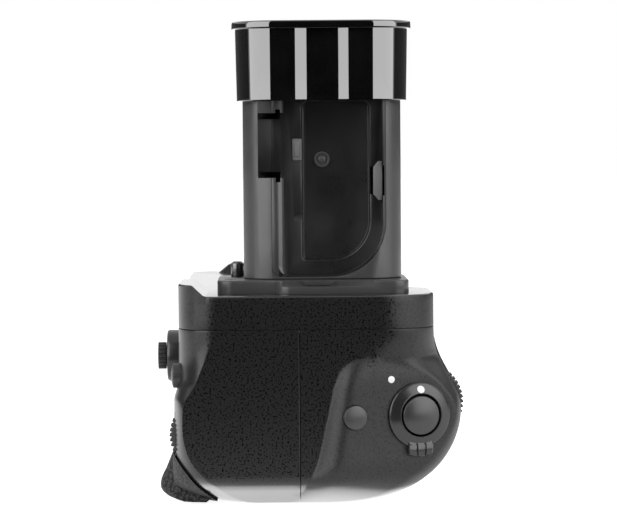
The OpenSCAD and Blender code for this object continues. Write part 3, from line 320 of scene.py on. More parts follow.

# %% [markdown]
# The case is painted black over a fine texture. Its pits are coloured darker, painted shade in the pits,
# and the flat end face is coloured darker than the curved walls and the pod: painted shade and painted
# light. The rounded underside is nearly plain. Three materials with borders would show their edges, so
# one material follows the direction of the surface and fades between the three.

# %% The case paint
def case_finish(name):
    """The case texture: dark pits as painted shade, a darker end face and lighter curved walls as painted
    shade and light, smooth on the underside.
    """
    material, nodes, links = new_material(name)
    shader = nodes["Principled BSDF"]

    def remap(value, to_low, to_high, low=0.0, high=1.0):
        node = nodes.new("ShaderNodeMapRange")
        node.interpolation_type = "SMOOTHSTEP"
        links.new(value, node.inputs["Value"])
        ends = {"From Min": low, "From Max": high, "To Min": to_low, "To Max": to_high}
        for socket, number in ends.items():
            if isinstance(number, float):
                put(node, {socket: number})
            else:
                links.new(number, node.inputs[socket])
        return node.outputs["Result"]

    place, axes = nodes.new("ShaderNodeTexCoord"), nodes.new("ShaderNodeSeparateXYZ")
    links.new(place.outputs["Normal"], axes.inputs[0])
    grain, bump = nodes.new("ShaderNodeTexNoise"), nodes.new("ShaderNodeBump")
    put(grain, {"Scale": 1.0 / (0.5 * MM), "Detail": 2.0})
    links.new(place.outputs["Object"], grain.inputs["Vector"])
    spot = nodes.new("ShaderNodeSeparateXYZ")
    links.new(place.outputs["Object"], spot.inputs[0])
    # The pod stands proud of the end face and has no pits; it takes the lighter tone of the curved walls,
    # painted light.
    on_face = remap(spot.outputs["X"], 1.0, 0.0, 72.1 * MM, 72.9 * MM)
    flat = remap(axes.outputs["X"], 0.0, on_face, 0.92, 0.999)
    below = remap(axes.outputs["Z"], 1.0, 0.0, -0.97, -0.78)
    # The pits are coloured darker, painted shade in the pits of the texture. Outside them the flat end face
    # is coloured darker and the curved walls and the pod lighter: painted shade and painted light.
    pit = remap(grain.outputs["Fac"], 1.0, 0.0, 0.37, 0.47)
    unpitted_tone_painted_light = remap(flat, 0.014, 0.008)
    dark = remap(flat, 0.007, 0.001)
    tone = remap(pit, unpitted_tone_painted_light, dark)
    links.new(tone, shader.inputs["Base Color"])
    shine = remap(pit, 0.35, remap(flat, 0.3, 0.04))
    links.new(remap(below, shine, 0.9), shader.inputs["Specular IOR Level"])
    # The rear corner is a little glossier than the hand grip.
    curved = remap(spot.outputs["Y"], 0.28, 0.44, -18.0 * MM, -8.0 * MM)
    links.new(remap(below, remap(flat, curved, 0.36), 0.17), shader.inputs["Roughness"])
    links.new(remap(below, 0.0, 0.7), shader.inputs["Coat Weight"])
    put(shader, {"Coat Roughness": 0.12})
    put(bump, {"Strength": 1.0, "Distance": 0.012 * MM})
    links.new(remap(below, grain.outputs["Fac"], 0.5), bump.inputs["Height"])
    links.new(bump.outputs["Normal"], shader.inputs["Normal"])
    return material


print("case paint ready")

# %% Finishes of the grip
paint = case_finish("speckled_case_paint")
seat_paint = finish("smooth_seat_paint", grey(0.01), grey(0.014), 0.16, 0.7, 0.0005, coat=0.8,
                    coat_rough=0.12, rough_spread=0.02)
# The pebble tops are coloured lighter and the gaps between them nearly black: painted shade in the gaps.
rubber = finish("pebbled_rubber", grey(0.07), grey(0.002), 0.62, 0.7, -0.45, cells=True,
                spots=(0.15, 0.6), specular=0.25)
satin = finish("satin_stem_plastic", grey(0.034), grey(0.047), 0.36, 0.16, 0.004)
# A darker copy of the stem satin for the recessed faces of the door holder and the hinge notch: painted shade
# in the recess.
inset = finish("holder_plastic_painted_shade", grey(0.008), grey(0.013), 0.34, 0.16, 0.003, specular=0.35)
gloss = finish("gloss_cap_plastic", grey(0.003), grey(0.005), 0.03, 6.0, 0.0006, specular=0.5, coat=1.0,
               ior=1.75, rough_spread=0.01)
satin_button = finish("satin_button_plastic", grey(0.026), grey(0.034), 0.36, 0.12, 0.002)
satin_lever = finish("satin_lever_plastic", grey(0.014), grey(0.02), 0.26, 0.12, 0.001)
dial_black = finish("matt_dial_plastic", grey(0.02), grey(0.034), 0.55, 0.2, 0.01)
catch_plastic = finish("grey_catch_plastic", grey(0.1), grey(0.13), 0.45, 0.14, 0.004)
tab_plastic = finish("grey_tab_plastic", grey(0.11), grey(0.14), 0.45, 0.14, 0.004)
steel = finish("brushed_steel", grey(0.42), grey(0.55), 0.3, 0.5, 0.002, metallic=1.0)
dark_steel = finish("blackened_steel", grey(0.1), grey(0.14), 0.3, 0.3, 0.003, metallic=1.0)
brass = finish("gold_plated_contacts", (0.66, 0.47, 0.17), (0.8, 0.6, 0.26), 0.25, 0.4, 0.001, metallic=1.0)
inner = finish("plain_inner_plastic", grey(0.018), grey(0.03), 0.55, 0.3, 0.01)
board = finish("green_board", (0.008, 0.06, 0.022), (0.014, 0.1, 0.035), 0.35, 1.6, 0.006)
flex = finish("amber_flex", (0.32, 0.15, 0.03), (0.45, 0.22, 0.05), 0.35, 0.8, 0.004)
white_paint = finish("white_index_paint", grey(0.78), grey(0.86), 0.5, 0.3, 0.002)
print("finishes:", len(bpy.data.materials))

# %% [markdown]
# The outer form is one idea: a plan outline at every height. The rear corner pinches in towards
# the middle, the hand grip swells into a belly, and a tilted pod for the shutter button rises out
# of the end face. The outlines are the formulas of the solids, drawn finer. The tables of corner
# reaches are smoothed and a few bends are softer, so that highlights run without kinks.

# %% Plan outlines of the case
HAND, FAR, REAR, FRONT, BASE = 72.0, -66.0, -25.5, 26.0, -54.5
TOP_H, SEAM_Y, SEAM_GAP, WALL = 8.5, 5.25, 0.16, 2.2
TOP_FRONT, GRIP_FRONT, BELLY_Z, UNDER = 39.6, 46.6, -30.0, 30.6
GRIP_X1, GRIP_X0, BASE_R, FAR_R = 40.0, 22.0, 7.0, 6.0
RAMP_H, RAMP_LEN, RAMP_SOFT = 6.9, 20.0, 2.2
POD_RISE, POD_TILT, POD_Y, POD_LEFT = 3.4, math.radians(20), 15.0, 14.4
POD_TOP, POD_CORNER, POD_FLANK, POD_FADE = 15.5, 8.0, 6.4, 8.0
POD_DIP, DIP_Y, DIP_WIDE, POD_BEND, VALLEY_END = 1.0, 18.0, 12.0, 3.0, 20.0
POD_LEAN, LEAN_Z, POD_SWING, SWING_Z = 0.22, 21.0, 0.02, 39.0
BULGE, BULGE_Z, BULGE_SOFT = 1.3, 21.5, 5.5
CREASE, CREASE_FROM, CREASE_RUN = 0.3, 0.14, 0.2
SHUTTER_Y, FN_Y, BUTTON_Z = 35.2, 19.0, -30.5


def smooth_table(rows):
    """Corner reach by share of the height, with its kinks rounded."""
    share = np.linspace(-0.2, 1.2, 561)
    kernel = np.hanning(41)
    values = np.interp(share, *np.transpose(rows))
    values = np.convolve(np.pad(values, 20, mode="edge"), kernel / kernel.sum(), mode="valid")
    return lambda s: np.interp(s, share, values)


rear_ay = smooth_table([(0, 10), (0.16, 9.5), (0.3, 6.8), (0.41, 4.4), (0.51, 2.6), (0.58, 2.4), (0.66, 2.6),
                        (0.74, 3.8), (0.8, 5.8), (0.84, 8), (0.9, 12), (1, 14)])
rear_ax = smooth_table([(0, 13.5), (0.7, 13), (0.88, 17), (1, 20)])
front_ay = smooth_table([(0, 14), (0.16, 13.5), (0.27, 12.8), (0.31, 10.2), (0.36, 5.8), (0.43, 3.4),
                         (0.5, 2.3), (0.58, 2), (0.75, 5), (0.9, 7), (1, 5)])
front_ax = smooth_table([(0, 14), (0.16, 13.5), (0.3, 12.5), (0.4, 9), (0.55, 8), (0.75, 9), (1, 10)])


def ease(t):
    return 0.5 - 0.5 * np.cos(math.pi * np.clip(t, 0, 1))


def smoothstep(t):
    c = np.clip(t, 0, 1)
    return c * c * (3 - 2 * c)


def mix(a, b, t):
    return a + (b - a) * t


def belly(z):
    if z > -TOP_H:
        return TOP_FRONT
    if z > BELLY_Z:
        return mix(TOP_FRONT, GRIP_FRONT, float(ease(((-z - TOP_H) / (-BELLY_Z - TOP_H)) ** 1.25)))
    return GRIP_FRONT - UNDER * (1 - math.sqrt(max(0.0, 1 - ((BELLY_Z - z) / (BELLY_Z - BASE)) ** 2)))


def base_in(z):
    d = max(0.0, BASE + BASE_R - z)
    return BASE_R - math.sqrt(max(0.0, BASE_R ** 2 - d * d))


def rear_bulge(z):
    return BULGE * float(smoothstep((-z - BULGE_Z) / BULGE_SOFT))


def pod_left(z):
    return POD_LEFT - POD_LEAN * max(0.0, -z - LEAN_Z) - POD_SWING * max(0.0, -z - SWING_Z) ** 2


def pod_share(y, z):
    dy, dz = y - pod_left(z), -POD_TOP - z
    a, b = POD_CORNER - dy, POD_CORNER - dz
    d = np.where((a > 0) & (b > 0), POD_CORNER - np.hypot(a, b), np.minimum(dy, dz))
    c = np.clip(d / POD_FLANK, 0, 1)
    return c * (2 - c)


def pod_plane(y):
    past = np.clip(y - POD_Y + POD_BEND, 0, 2 * POD_BEND)
    return POD_RISE - math.tan(POD_TILT) * (past ** 2 / (4 * POD_BEND) + np.maximum(0, y - POD_Y - POD_BEND))


def end_x(y, z):
    """X of the end surface at Y and Z: flat face, rising underside, pod, and the valley above it."""
    y = np.asarray(y, float)
    share, up = pod_share(y, z), z - BASE
    d = RAMP_H - up
    soft_d = 0.0 if d < -RAMP_SOFT else d if d > RAMP_SOFT else (d + RAMP_SOFT) ** 2 / (4 * RAMP_SOFT)
    low = soft_d / RAMP_H
    soft = (max(0.0, 2 * RAMP_H - up) / (2 * RAMP_H)) ** 3
    plane, fade = pod_plane(y), float(smoothstep(up / POD_FADE))
    valley = float(smoothstep((-z - TOP_H) / (VALLEY_END - TOP_H)))
    beside = valley * (np.minimum(0, plane) - POD_DIP * smoothstep((y - DIP_Y) / DIP_WIDE))
    return HAND - RAMP_LEN * mix(low, soft, share) + fade * mix(beside, plane, share)


def spread(a, b, count):
    return np.linspace(a, b, count, endpoint=False)


def sections(z, t):
    """The rear and front halves of the plan outline at height z, set in by t, from seam to seam."""
    level = BASE * (-z - t) / (-BASE - 2 * t)
    share, inset_by = -level / -BASE, base_in(level) + t
    yr, yf, xf, yb = REAR + inset_by - rear_bulge(level), FRONT - inset_by, FAR + inset_by, belly(level) - t
    ayr, axr = max(0.6, float(rear_ay(share)) - t), float(rear_ax(share)) - t
    ayf, axf = max(0.6, float(front_ay(share)) - t), float(front_ax(share)) - t
    fr = max(0.8, FAR_R - t)
    a18, a10 = np.linspace(0, math.pi / 2, 19)[:-1], np.linspace(0, math.pi / 2, 11)[:-1]
    rear_seam, front_seam = SEAM_Y - SEAM_GAP / 2, SEAM_Y + SEAM_GAP / 2
    y = yr + ayr * (1 - np.cos(a18))
    x_wall = float(end_x(yr, level)) - t - axr
    crease = CREASE * float(smoothstep((share - CREASE_FROM) / CREASE_RUN))
    fall = axr * mix(1 - np.sin(a18), np.cos(a18), crease)
    side = np.concatenate([yr + ayr + np.array([0.0, 0.15, 0.5]),
                           np.linspace(yr + ayr + 1.5, rear_seam, 20)])
    rear = np.vstack([
        pair(xf, spread(rear_seam, yr + fr, 4)),
        pair(xf + fr - fr * np.cos(a10), yr + fr - fr * np.sin(a10)),
        pair(spread(xf + fr, x_wall, 26), yr),
        pair(end_x(y, level) - t - fall, y),
        pair(end_x(side, level) - t, side)])
    y1 = yb - ayf
    turn = min(26.0, mix(front_seam, y1, 0.65))
    face = np.concatenate([spread(front_seam, turn, 64), spread(turn, y1, 30)])
    y = y1 + ayf * np.sin(a18)
    x_corner = float(end_x(yb, level)) - t - axf
    sweep = spread(GRIP_X1, GRIP_X0, 20)
    front = np.vstack([
        pair(end_x(face, level) - t, face),
        pair(end_x(y, level) - t - axf * (1 - np.cos(a18)), y),
        pair(spread(x_corner, GRIP_X1, 12), yb),
        pair(sweep, mix(yf, yb, ease((sweep - GRIP_X0) / (GRIP_X1 - GRIP_X0)))),
        pair(spread(GRIP_X0, xf + fr, 18), yf),
        pair(xf + fr - fr * np.sin(a10), yf - fr + fr * np.cos(a10)),
        pair(xf, np.linspace(yf - fr, front_seam, 4))])
    return rear, front


print("outline points of the halves:", [len(half) for half in sections(-20.0, 0.0)])

# %% [markdown]
# The lower case is two shells that meet at a seam under the stem. Each is an outer and an inner
# skin, joined along the seam, the rim and the floor, so that it is a true wall with a thickness.
# The edges along the seams are eased by two extra columns or rings set in by a fraction of a
# millimetre: that draws the fine light and dark lines that seams show in the studio.

# %% Heights of the rings and the two lower shells
rim_z = -TOP_H - SEAM_GAP / 2
pod_arc = -POD_TOP - POD_CORNER * (1 - np.cos(np.linspace(0, math.pi / 2, 15)))
base_arc = BASE + BASE_R * (1 - np.sin(np.linspace(0, math.pi / 2, 17)))
outer_heights = np.concatenate([[rim_z, rim_z - 0.08, rim_z - 0.22], spread(rim_z - 1, -POD_TOP + 0.05, 16),
                                pod_arc, np.linspace(-26, -44.8, 30), np.linspace(-45.1, -48.1, 16),
                                base_arc[base_arc < -48.3]])
inner_heights = np.concatenate([np.linspace(rim_z, -44, 24), BASE + WALL + 5.2
                                - 5.2 * np.sin(np.linspace(0.2, math.pi / 2, 8))])
RIM_EASE, SEAM_EASE = (0.03, 0.01), 0.16


def case_shell(name, half):
    eases = list(RIM_EASE) + [0.0] * (len(outer_heights) - len(RIM_EASE))
    outer = np.array([at_height(sections(z, t)[half], z) for z, t in zip(outer_heights, eases)])
    ends = ((0, 1, 1), (-1, -2, -1)) if half == 0 else ((0, 1, -1), (-1, -2, 1))
    for edge, beside, sign in ends:
        outer[:, beside] = mix(outer[:, edge], outer[:, beside], 0.25 / 1.5)
        outer[:, edge, 0] += sign * SEAM_EASE
    inner_skin = np.array([at_height(sections(z, WALL)[half], z) for z in inner_heights])
    n_out, n_in, wide = len(outer), len(inner_skin), outer.shape[1]
    a = np.arange(n_out * wide).reshape(n_out, wide)
    b = n_out * wide + np.arange(n_in * wide).reshape(n_in, wide)
    faces = []
    for grid in (a, b):
        faces += grid_faces(grid) + [grid[-1].tolist()]
    faces += np.stack([a[0, :-1], a[0, 1:], b[0, 1:], b[0, :-1]], -1).tolist()
    for edge in (0, -1):
        faces.append(a[:, edge].tolist() + b[::-1, edge].tolist())
    faces.append([int(a[-1, 0]), int(a[-1, -1]), int(b[-1, -1]), int(b[-1, 0])])
    return solid(name, np.vstack([outer.reshape(-1, 3), inner_skin.reshape(-1, 3)]), faces)


rear_shell = case_shell("rear_shell", 0)
front_shell = case_shell("front_shell", 1)
print("shell points:", len(rear_shell.data.vertices), len(front_shell.data.vertices))

# %% [markdown]
# Controls stand on two faces, so two small frames of axes are worth having: one on the tilted
# pod, with its z axis out of the pod and its x axis down, and one on the rear wall.

# %% Places on the pod and on the rear wall
AXIS_X, AXIS_Y, AXIS_Z = (1.0, 0.0, 0.0), (0.0, 1.0, 0.0), (0.0, 0.0, 1.0)


def on_pod(y):
    origin = (HAND + float(pod_plane(y)), y, BUTTON_Z)
    out = (math.cos(POD_TILT), math.sin(POD_TILT), 0.0)
    return origin, ((0.0, 0.0, -1.0), (-out[1], out[0], 0.0), out)


def on_rear(x, z):
    return (x, REAR, z), (AXIS_X, AXIS_Z, (0.0, -1.0, 0.0))


def upright(x, y, z):
    return (x, y, z), (AXIS_X, AXIS_Y, AXIS_Z)


def along_x(x, y, z):
    return (x, y, z), (AXIS_Y, AXIS_Z, AXIS_X)


def drill(r, low, high, place, around=64):
    return turned("drill", [(r, low), (r, high)], place, around)


STICK, AF = (42.0, -16.9), (60.0, -20.7)
FRONT_DIAL, REAR_DIAL = (50.5, 37.5, -28.6), (61.5, -17.9, -35.6)
DIAL_HALF = 2.85
BASE_SCREWS = [(x, y) for x in (-52.0, 38.1) for y in (-12.0, 12.0)]


def far_opening():
    return block("opening", (-67, -22.7, -48.15), (-60.8, 22.7, -18.35))


def floor_drills():
    stepped = [(2.25, BASE - 1), (2.25, BASE + 1.3), (1.1, BASE + 1.3), (1.1, BASE + 4)]
    return [drill(5.55, BASE - 1, BASE + 4, upright(0, 0, 0)),
            *[turned("drill", stepped, upright(x, y, 0), 40) for x, y in BASE_SCREWS]]


carve(front_shell, [
    drill(6.4, -6, 6, on_pod(SHUTTER_Y)), drill(3.2, -6, 6, on_pod(FN_Y)),
    drill(10.5, -DIAL_HALF, DIAL_HALF, along_x(*FRONT_DIAL), 96),
    far_opening(), *floor_drills()], solver="MANIFOLD")
carve(rear_shell, [
    drill(4.3, -5, 3, on_rear(*STICK)), drill(3.3, -5, 3, on_rear(*AF)),
    drill(10.5, -DIAL_HALF, DIAL_HALF, along_x(*REAR_DIAL), 96),
    far_opening(), *floor_drills()], solver="MANIFOLD")
dress(rear_shell, "case", "case_black", paint, "rear_case")
dress(front_shell, "case", "case_black", paint, "front_case")

print("lower shells cut:", len(rear_shell.data.polygons), len(front_shell.data.polygons))

# %% [markdown]
# The top case is the seat for the camera: the same outline, flat on top with a small rounded
# edge, open underneath. A lip guards the thumb at the rear edge and a low step sits at the far
# end. The lip is trimmed to the outline, so that it ends flush, and both are merged with the
# seat. Faces that look up take a smoother paint than the walls.

# %% Top case
def plan_ring(z, t, level=None):
    """The whole outline of height z, set in by t and laid at that height or at a level."""
    rear, front = sections(z, t)
    return at_height(np.vstack([rear[1:], front[:-1]]), z if level is None else level)


EDGE_R = 0.6
low_z = -TOP_H + SEAM_GAP / 2
rings = [plan_ring(-0.01, EDGE_R, 0.0)]
rings += [plan_ring(-EDGE_R * (1 - math.sin(a)), EDGE_R * (1 - math.cos(a)))
          for a in np.linspace(math.pi / 2, 0, 6)[1:]]
rings += [plan_ring(z, 0) for z in (-2.0, -4.0, -6.0, low_z + 0.22)]
rings += [plan_ring(low_z + 0.08, RIM_EASE[1]), plan_ring(low_z, RIM_EASE[0]), plan_ring(low_z, WALL),
          plan_ring(-5.0, WALL), plan_ring(-WALL - 0.01, WALL, -WALL)]
seat = loft("seat", rings)
lip = prism("lip", [(-26.5, -2.0), (-26.5, 2.2), (-25.4, 2.6), (-24.9, 2.7), (-22.0, 2.7), (-21.5, 2.5),
                    (-18.9, 0.2), (-18.2, 0.0), (-18.2, -2.0)], 36.0, 73.0)
trim = [plan_ring(-2.0, t, z) for t, z in ((-0.01, -3.0), (-0.01, 2.3), (0.3, 2.75))]
carve(lip, [loft("trim", trim)], "INTERSECT")
step = prism("step", [(-17.5, -0.5), (-17.5, 0.0), (-14.6, 2.35), (-13.9, 2.6), (13.9, 2.6), (14.6, 2.35),
                      (17.5, 0.0), (17.5, -0.5)], -65.0, -56.0)
round_edges(step, 0.4, 3, 60)
carve(seat, [lip, step], "UNION", "MANIFOLD")
WHEEL = (-17.163, -13.123)
carve(seat, [drill(3.325, -4, 1, upright(0, 0, 0)), drill(14.3, -7.5, -2.9, upright(*WHEEL, 0), 120),
             block("way", (41.1, 4.5, -4), (47.1, 18.5, 1))], solver="MANIFOLD")
dress(seat, "case", "case_black", paint, "top_case")
second_finish(seat, seat_paint, lambda at, out: out.z > 0.7)
print("seat:", len(seat.data.polygons), "faces")

# %% [markdown]
# Two pebbled rubber skins help the hand: one wraps the front of the grip, the other makes the
# thumb rest at the lower rear corner. The front one is a sheet drawn over the case outline with
# its border sunk in. The thumb rest is a row of profiles that shrink towards both ends, merged
# with a thin skirt that follows the rear corner up to a slanting edge.

# %% Rubber skins
def grip_y(x, z):
    level_front = FRONT - base_in(z)
    return mix(level_front, belly(z), float(ease((x - GRIP_X0) / (GRIP_X1 - GRIP_X0))))


RUBBER_T = 0.7
columns = np.linspace(26.3, 46.3, 42)
rows = np.linspace(BASE + 7.4, -11.8, 60)
top, under = np.empty((2, len(rows), len(columns), 3))
for i, z in enumerate(rows):
    for k, x in enumerate(columns):
        inside = min(x - columns[0], columns[-1] - x, z - rows[0], rows[-1] - z)
        swell = math.sqrt(max(0.0, 1 - (1 - min(1.0, inside / 0.8)) ** 2))
        y = grip_y(x, z)
        slope = (grip_y(x, z + 0.2) - grip_y(x, z - 0.2)) / 0.4
        lean = 1 / math.hypot(1, slope)
        lift = -0.05 + (RUBBER_T + 0.03) * swell
        top[i, k] = x, y + lift * lean, z - lift * slope * lean
        under[i, k] = x, y - 0.4, z
grip_skin = sheet("grip_skin", top, under)
dress(grip_skin, "case", "rubber", rubber, "front_grip_rubber", angle=60)

REST_X0, REST_LEN, REST_H = 21.0, 33.5, 17.0
profile = np.array([(0.9, 1.0), (-0.3, 0.965), (-1.2, 0.88), (-2.6, 0.71), (-3.9, 0.52), (-4.7, 0.43),
                    (-5.2, 0.36), (-5.45, 0.29), (-5.4, 0.22), (-4.8, 0.16), (-3.5, 0.1), (-1.5, 0.06),
                    (0.5, 0.045), (3.0, 0.035), (6.6, 0.03), (8.0, 0.1), (7.0, 0.25), (4.5, 0.45),
                    (2.5, 0.7)])
rest_rings = []
for u in 0.5 - 0.5 * np.cos(np.linspace(0.12, math.pi - 0.12, 34)):
    k = math.sqrt(math.sin(math.pi * u ** 2.6))
    y = np.where(profile[:, 0] < 0.9, 0.9 - (0.9 - profile[:, 0]) * k, profile[:, 0])
    z = np.where(profile[:, 1] > 0.3, mix(0.3, profile[:, 1], 0.55 + 0.45 * k), profile[:, 1])
    rest_rings.append(at_depth(pair(REAR + y, BASE + z * REST_H), REST_X0 + u * REST_LEN))
rest = loft("thumb_rest", rest_rings)
CORNER_POINTS, WALL_POINTS = slice(37, 58), 3
SKIRT_Y, SKIRT_Z, SKIRT_SLANT = -25.2, -42.75, 0.78


def skirt_line(z, t):
    """The outline round the rear corner at height z, up to the slanting edge of the rubber."""
    line = sections(z, t)[0][CORNER_POINTS]
    run = np.concatenate([[0.0], np.cumsum(np.hypot(*np.diff(line, axis=0).T))])
    edge_y = SKIRT_Y + SKIRT_SLANT * (SKIRT_Z - z)
    stop = np.interp(edge_y, line[WALL_POINTS:, 1], run[WALL_POINTS:])
    steps = np.linspace(0.0, stop, 24)
    return pair(np.interp(steps, run, line[:, 0]), np.interp(steps, run, line[:, 1]))


skirt_heights = np.linspace(-40.0, -54.3, 32)
skins = [np.array([at_height(skirt_line(z, t), z) for z in skirt_heights]) for t in (-0.5, 0.3)]
carve(rest, [sheet("skirt", *skins)], "UNION")
dress(rest, "case", "rubber", rubber, "thumb_rest_rubber", angle=60)
print("rubber skins:", len(grip_skin.data.vertices), "and", len(rest.data.vertices), "points")

# %% [markdown]
# The stem is a satin tube with round corners. Its near face is cut open for a holder that stores
# the camera's own battery door. The holder is a separate moulding: a ledge, a deeper pocket, a
# rounded ridge on the left, and a notch for the door's hinge with a slot at each end.

# %% Stem
STEM = (37.5, -8.8, 59.5, 31.8)
STEM_R, FLANGE_T = 9.0, 3.5
FACE = STEM[2]


def stem_plan(t):
    return round_rect(STEM[0] - t, STEM[1] - t, STEM[2] + t, STEM[3] + t, STEM_R + t, 16)


def door_cut(shrink, start, end):
    outline = door_outline(-1.5 + shrink, 4.2 + shrink, 27.7 - shrink, 53 - shrink, 2.4, 14, 2)
    return loft("cut", [at_depth(outline, x) for x in (start, end)])


def notch_tools():
    tools = [block("notch", (FACE - 4.6, -4.9, 29.4), (FACE + 1, 1.9, 45.9))]
    for z, hook in ((29.4, -1.1), (44.4, 0.9)):
        low, high = z + min(0, hook), z + 1.5 + max(0, hook)
        tools.append(block("slot", (FACE - 12, -4.9, z), (FACE + 1, 0.8, z + 1.5)))
        tools.append(block("hook", (FACE - 12, -0.4, low), (FACE + 1, 0.79, high)))
    return tools


stem = loft("stem", [at_height(stem_plan(-t), z) for t, z in
                     ((0.25, 3.55), (0.0, 3.8), (0.0, 30.0), (0.0, 61.0), (0.15, 61.35), (0.5, 61.5))])
carve(stem, [door_cut(0.0, FACE - 7.6, FACE + 1), *notch_tools(),
             prism("well", round_rect(42.5, 2.5, 53.5, 20.5, 1.5), 58.0, 62.5, "z")])
round_edges(stem, 0.22, 2, 50)
dress(stem, "case", "stem_black", satin, "stem_shell")
# Faces deep in the hinge notch take the darker copy: painted shade in the notch.
second_finish(stem, inset, lambda at, out: FACE - 12 < at.x < FACE - 0.8 and -5 < at.y < 2
              and 28 < at.z < 47.5)
print("stem:", len(stem.data.polygons), "faces")

# %% Door holder
holder = door_cut(0.08, FACE - 7.55, FACE)
carve(holder, [loft("trim", [at_height(stem_plan(0.0), 0.0), at_height(stem_plan(0.0), 60.0)])], "INTERSECT")
ledge = [at_depth(door_outline(1.7 - f, 4.8 - 0.25 * f, 26.9, 52, 1.5 + f, 13.2, 1), FACE + x)
         for x, f in ((-4.6, 0.0), (-1.7, 0.0), (-1.2, 0.1), (-0.75, 0.36), (-0.4, 0.75), (-0.15, 1.2),
                      (0.01, 1.7), (1.0, 1.8))]
pocket = [at_depth(door_outline(6.4 - f, 8.4 - f, 23.6 + f, 49 + f, 1 + f, 10 + f, 2 + f), FACE + x)
          for x, f in ((-6.6, -0.45), (-6.5, -0.15), (-6.2, 0.0), (-5.05, 0.0), (-4.8, 0.09), (-4.65, 0.28),
                       (-4.58, 0.5), (-4.0, 0.52))]
carve(holder, [loft("ledge", ledge), loft("pocket", pocket), *notch_tools(),
               block("seat", (FACE - 5.6, 3.7, 33.7), (FACE, 6.39, 39.5)),
               block("seat", (FACE - 9, 23.75, 25.0), (FACE, 25.3, 32.0)),
               block("seat", (FACE - 5.6, 25.2, 24.7), (FACE, 27.3, 32.3)),
               block("seat", (FACE - 5.4, 4.2, 18.3), (FACE, 6.41, 20.4))])
round_edges(holder, 0.14, 2, 50)
dress(holder, "case", "stem_black", inset, "door_holder")
# The recessed faces of the holder keep the darker copy as painted shade; the front of the ridge takes the
# lighter stem satin.
second_finish(holder, satin, lambda at, out: at.x > FACE - 1.75 and at.y < 1.65)
boss = turned("holder_boss", [(2.05, -0.3), (2.05, 0.36), (1.9, 0.5), (1.6, 0.5), (1.45, 0.36), (1.45, 0.08),
                              (0.95, 0.08), (0.85, 0.36), (0.65, 0.44), (0.0, 0.46)],
              along_x(FACE - 6.6, 11.5, 34.0), 48)
dress(boss, "case", "stem_black", satin)
print("holder:", len(holder.data.polygons), "faces")

# %% [markdown]
# A flange spreads the foot of the stem over the seat. It has a near and a rear step, a shallow
# recess and a small wedge in its near edge. Two plates with rounded rims are merged for it.

# %% Flange at the foot of the stem
def plate(name, x0, y0, x1, y1, low, high, r=4.0, soft=0.5):
    rows = [(0.0, low)] + [(soft * (1 - math.cos(a)), high - soft * (1 - math.sin(a)))
                           for a in np.linspace(0, math.pi / 2, 6)]
    return loft(name, [at_height(round_rect(x0 + t, y0 + t, x1 - t, y1 - t, r - t), z) for t, z in rows])


FLANGE_SCREWS = [(57.0, -12.2), (35.3, 22.8)]
flange = plate("flange", 33.0, -15.5, 62.0, 11.5, 0.05, FLANGE_T)
carve(flange, [plate("near", 33.02, -0.7, 65.0, 33.2, 0.05, FLANGE_T - 0.02)], "UNION")
carve(flange, [block("recess", (64.2, 0.5, 1.9), (66, 24.2, 4.5)),
               *[drill(1.5, 2.1, 5, upright(x, y, 0), 40) for x, y in FLANGE_SCREWS]])
wedge = prism("wedge", [(6.0, 3.45), (14.5, 3.45), (13.5, 2.3), (7.0, 2.3)], 63.5, 64.7)
carve(flange, [wedge], "UNION")
round_edges(flange, 0.15, 2, 60)
dress(flange, "case", "stem_black", satin, "stem_flange")
print("flange:", len(flange.data.polygons), "faces")

# %% [markdown]
# A gloss cap covers the contacts on the end of the stem. Its broad faces have a shallow finger
# groove, and that is what breaks the studio lights into stripes. It is one loft: up the outside,
# round the rim, over the top, and up the cavity inside.

# %% Contact cap
CAP = (34.6, -10.4, 62.4, 33.4)
CAP_R, CAP_MID, GROOVE_R, GROOVE_D = 11.0, 11.5, 19.0, 1.27


def cap_plan(grow, groove=1.0, box=CAP, r=CAP_R):
    x0, y0, x1, y1 = box[0] - grow, box[1] - grow, box[2] + grow, box[3] + grow
    r = r + grow
    y = np.linspace(y0 + r, y1 - r, 61)
    hollow = GROOVE_D - (GROOVE_R - np.sqrt(np.maximum(0, GROOVE_R ** 2 - (y - CAP_MID) ** 2)))
    soft = 0.06
    hollow = groove * 0.5 * (hollow + np.sqrt(hollow * hollow + soft * soft) - soft * 0.12)
    near = pair(x1 - np.maximum(0, hollow), y)
    far = pair(x0 + np.maximum(0, hollow[::-1]), y[::-1])
    quarter = np.radians(np.linspace(0, 90, 25))[1:-1]
    arc = [pair(cx + r * np.cos(quarter + a), cy + r * np.sin(quarter + a))
           for cx, cy, a in ((x1 - r, y1 - r, 0), (x0 + r, y1 - r, math.pi / 2),
                             (x0 + r, y0 + r, math.pi), (x1 - r, y0 + r, 1.5 * math.pi))]
    return np.vstack([near, arc[0], arc[1], far, arc[2], arc[3]])


cap_rows = [(-0.25, 1.0, 49.0), (-0.17, 1.0, 49.04), (-0.15, 1.0, 49.14), (-0.145, 1.0, 49.4),
            (0.03, 1.0, 58.0), (0.19, 1.0, 66.5), (0.2, 1.0, 67.0), (0.205, 1.0, 67.28), (0.3, 0.9, 67.3),
            (0.9, 0.1, 67.3), (1.02, 0.0, 67.33), (1.09, 0.0, 67.45), (1.1, 0.0, 67.7), (1.1, 0.0, 68.4),
            (1.05, 0.0, 68.9), (0.9, 0.0, 69.18), (0.65, 0.0, 69.29), (0.3, 0.0, 69.3)]
ROOM, ROOM_R = (37.15, -9.15, 59.85, 32.15), 9.35
room_rows = [(-0.4, 66.9), (0.0, 66.5), (0.0, 49.1), (0.1, 49.0)]
cap = loft("cap", [at_height(cap_plan(grow, 0.0, ROOM, ROOM_R), z) for grow, z in room_rows]
           + [at_height(cap_plan(grow, groove), z) for grow, groove, z in cap_rows])
dress(cap, "cap", "cap_gloss", gloss, "contact_cap", angle=40)
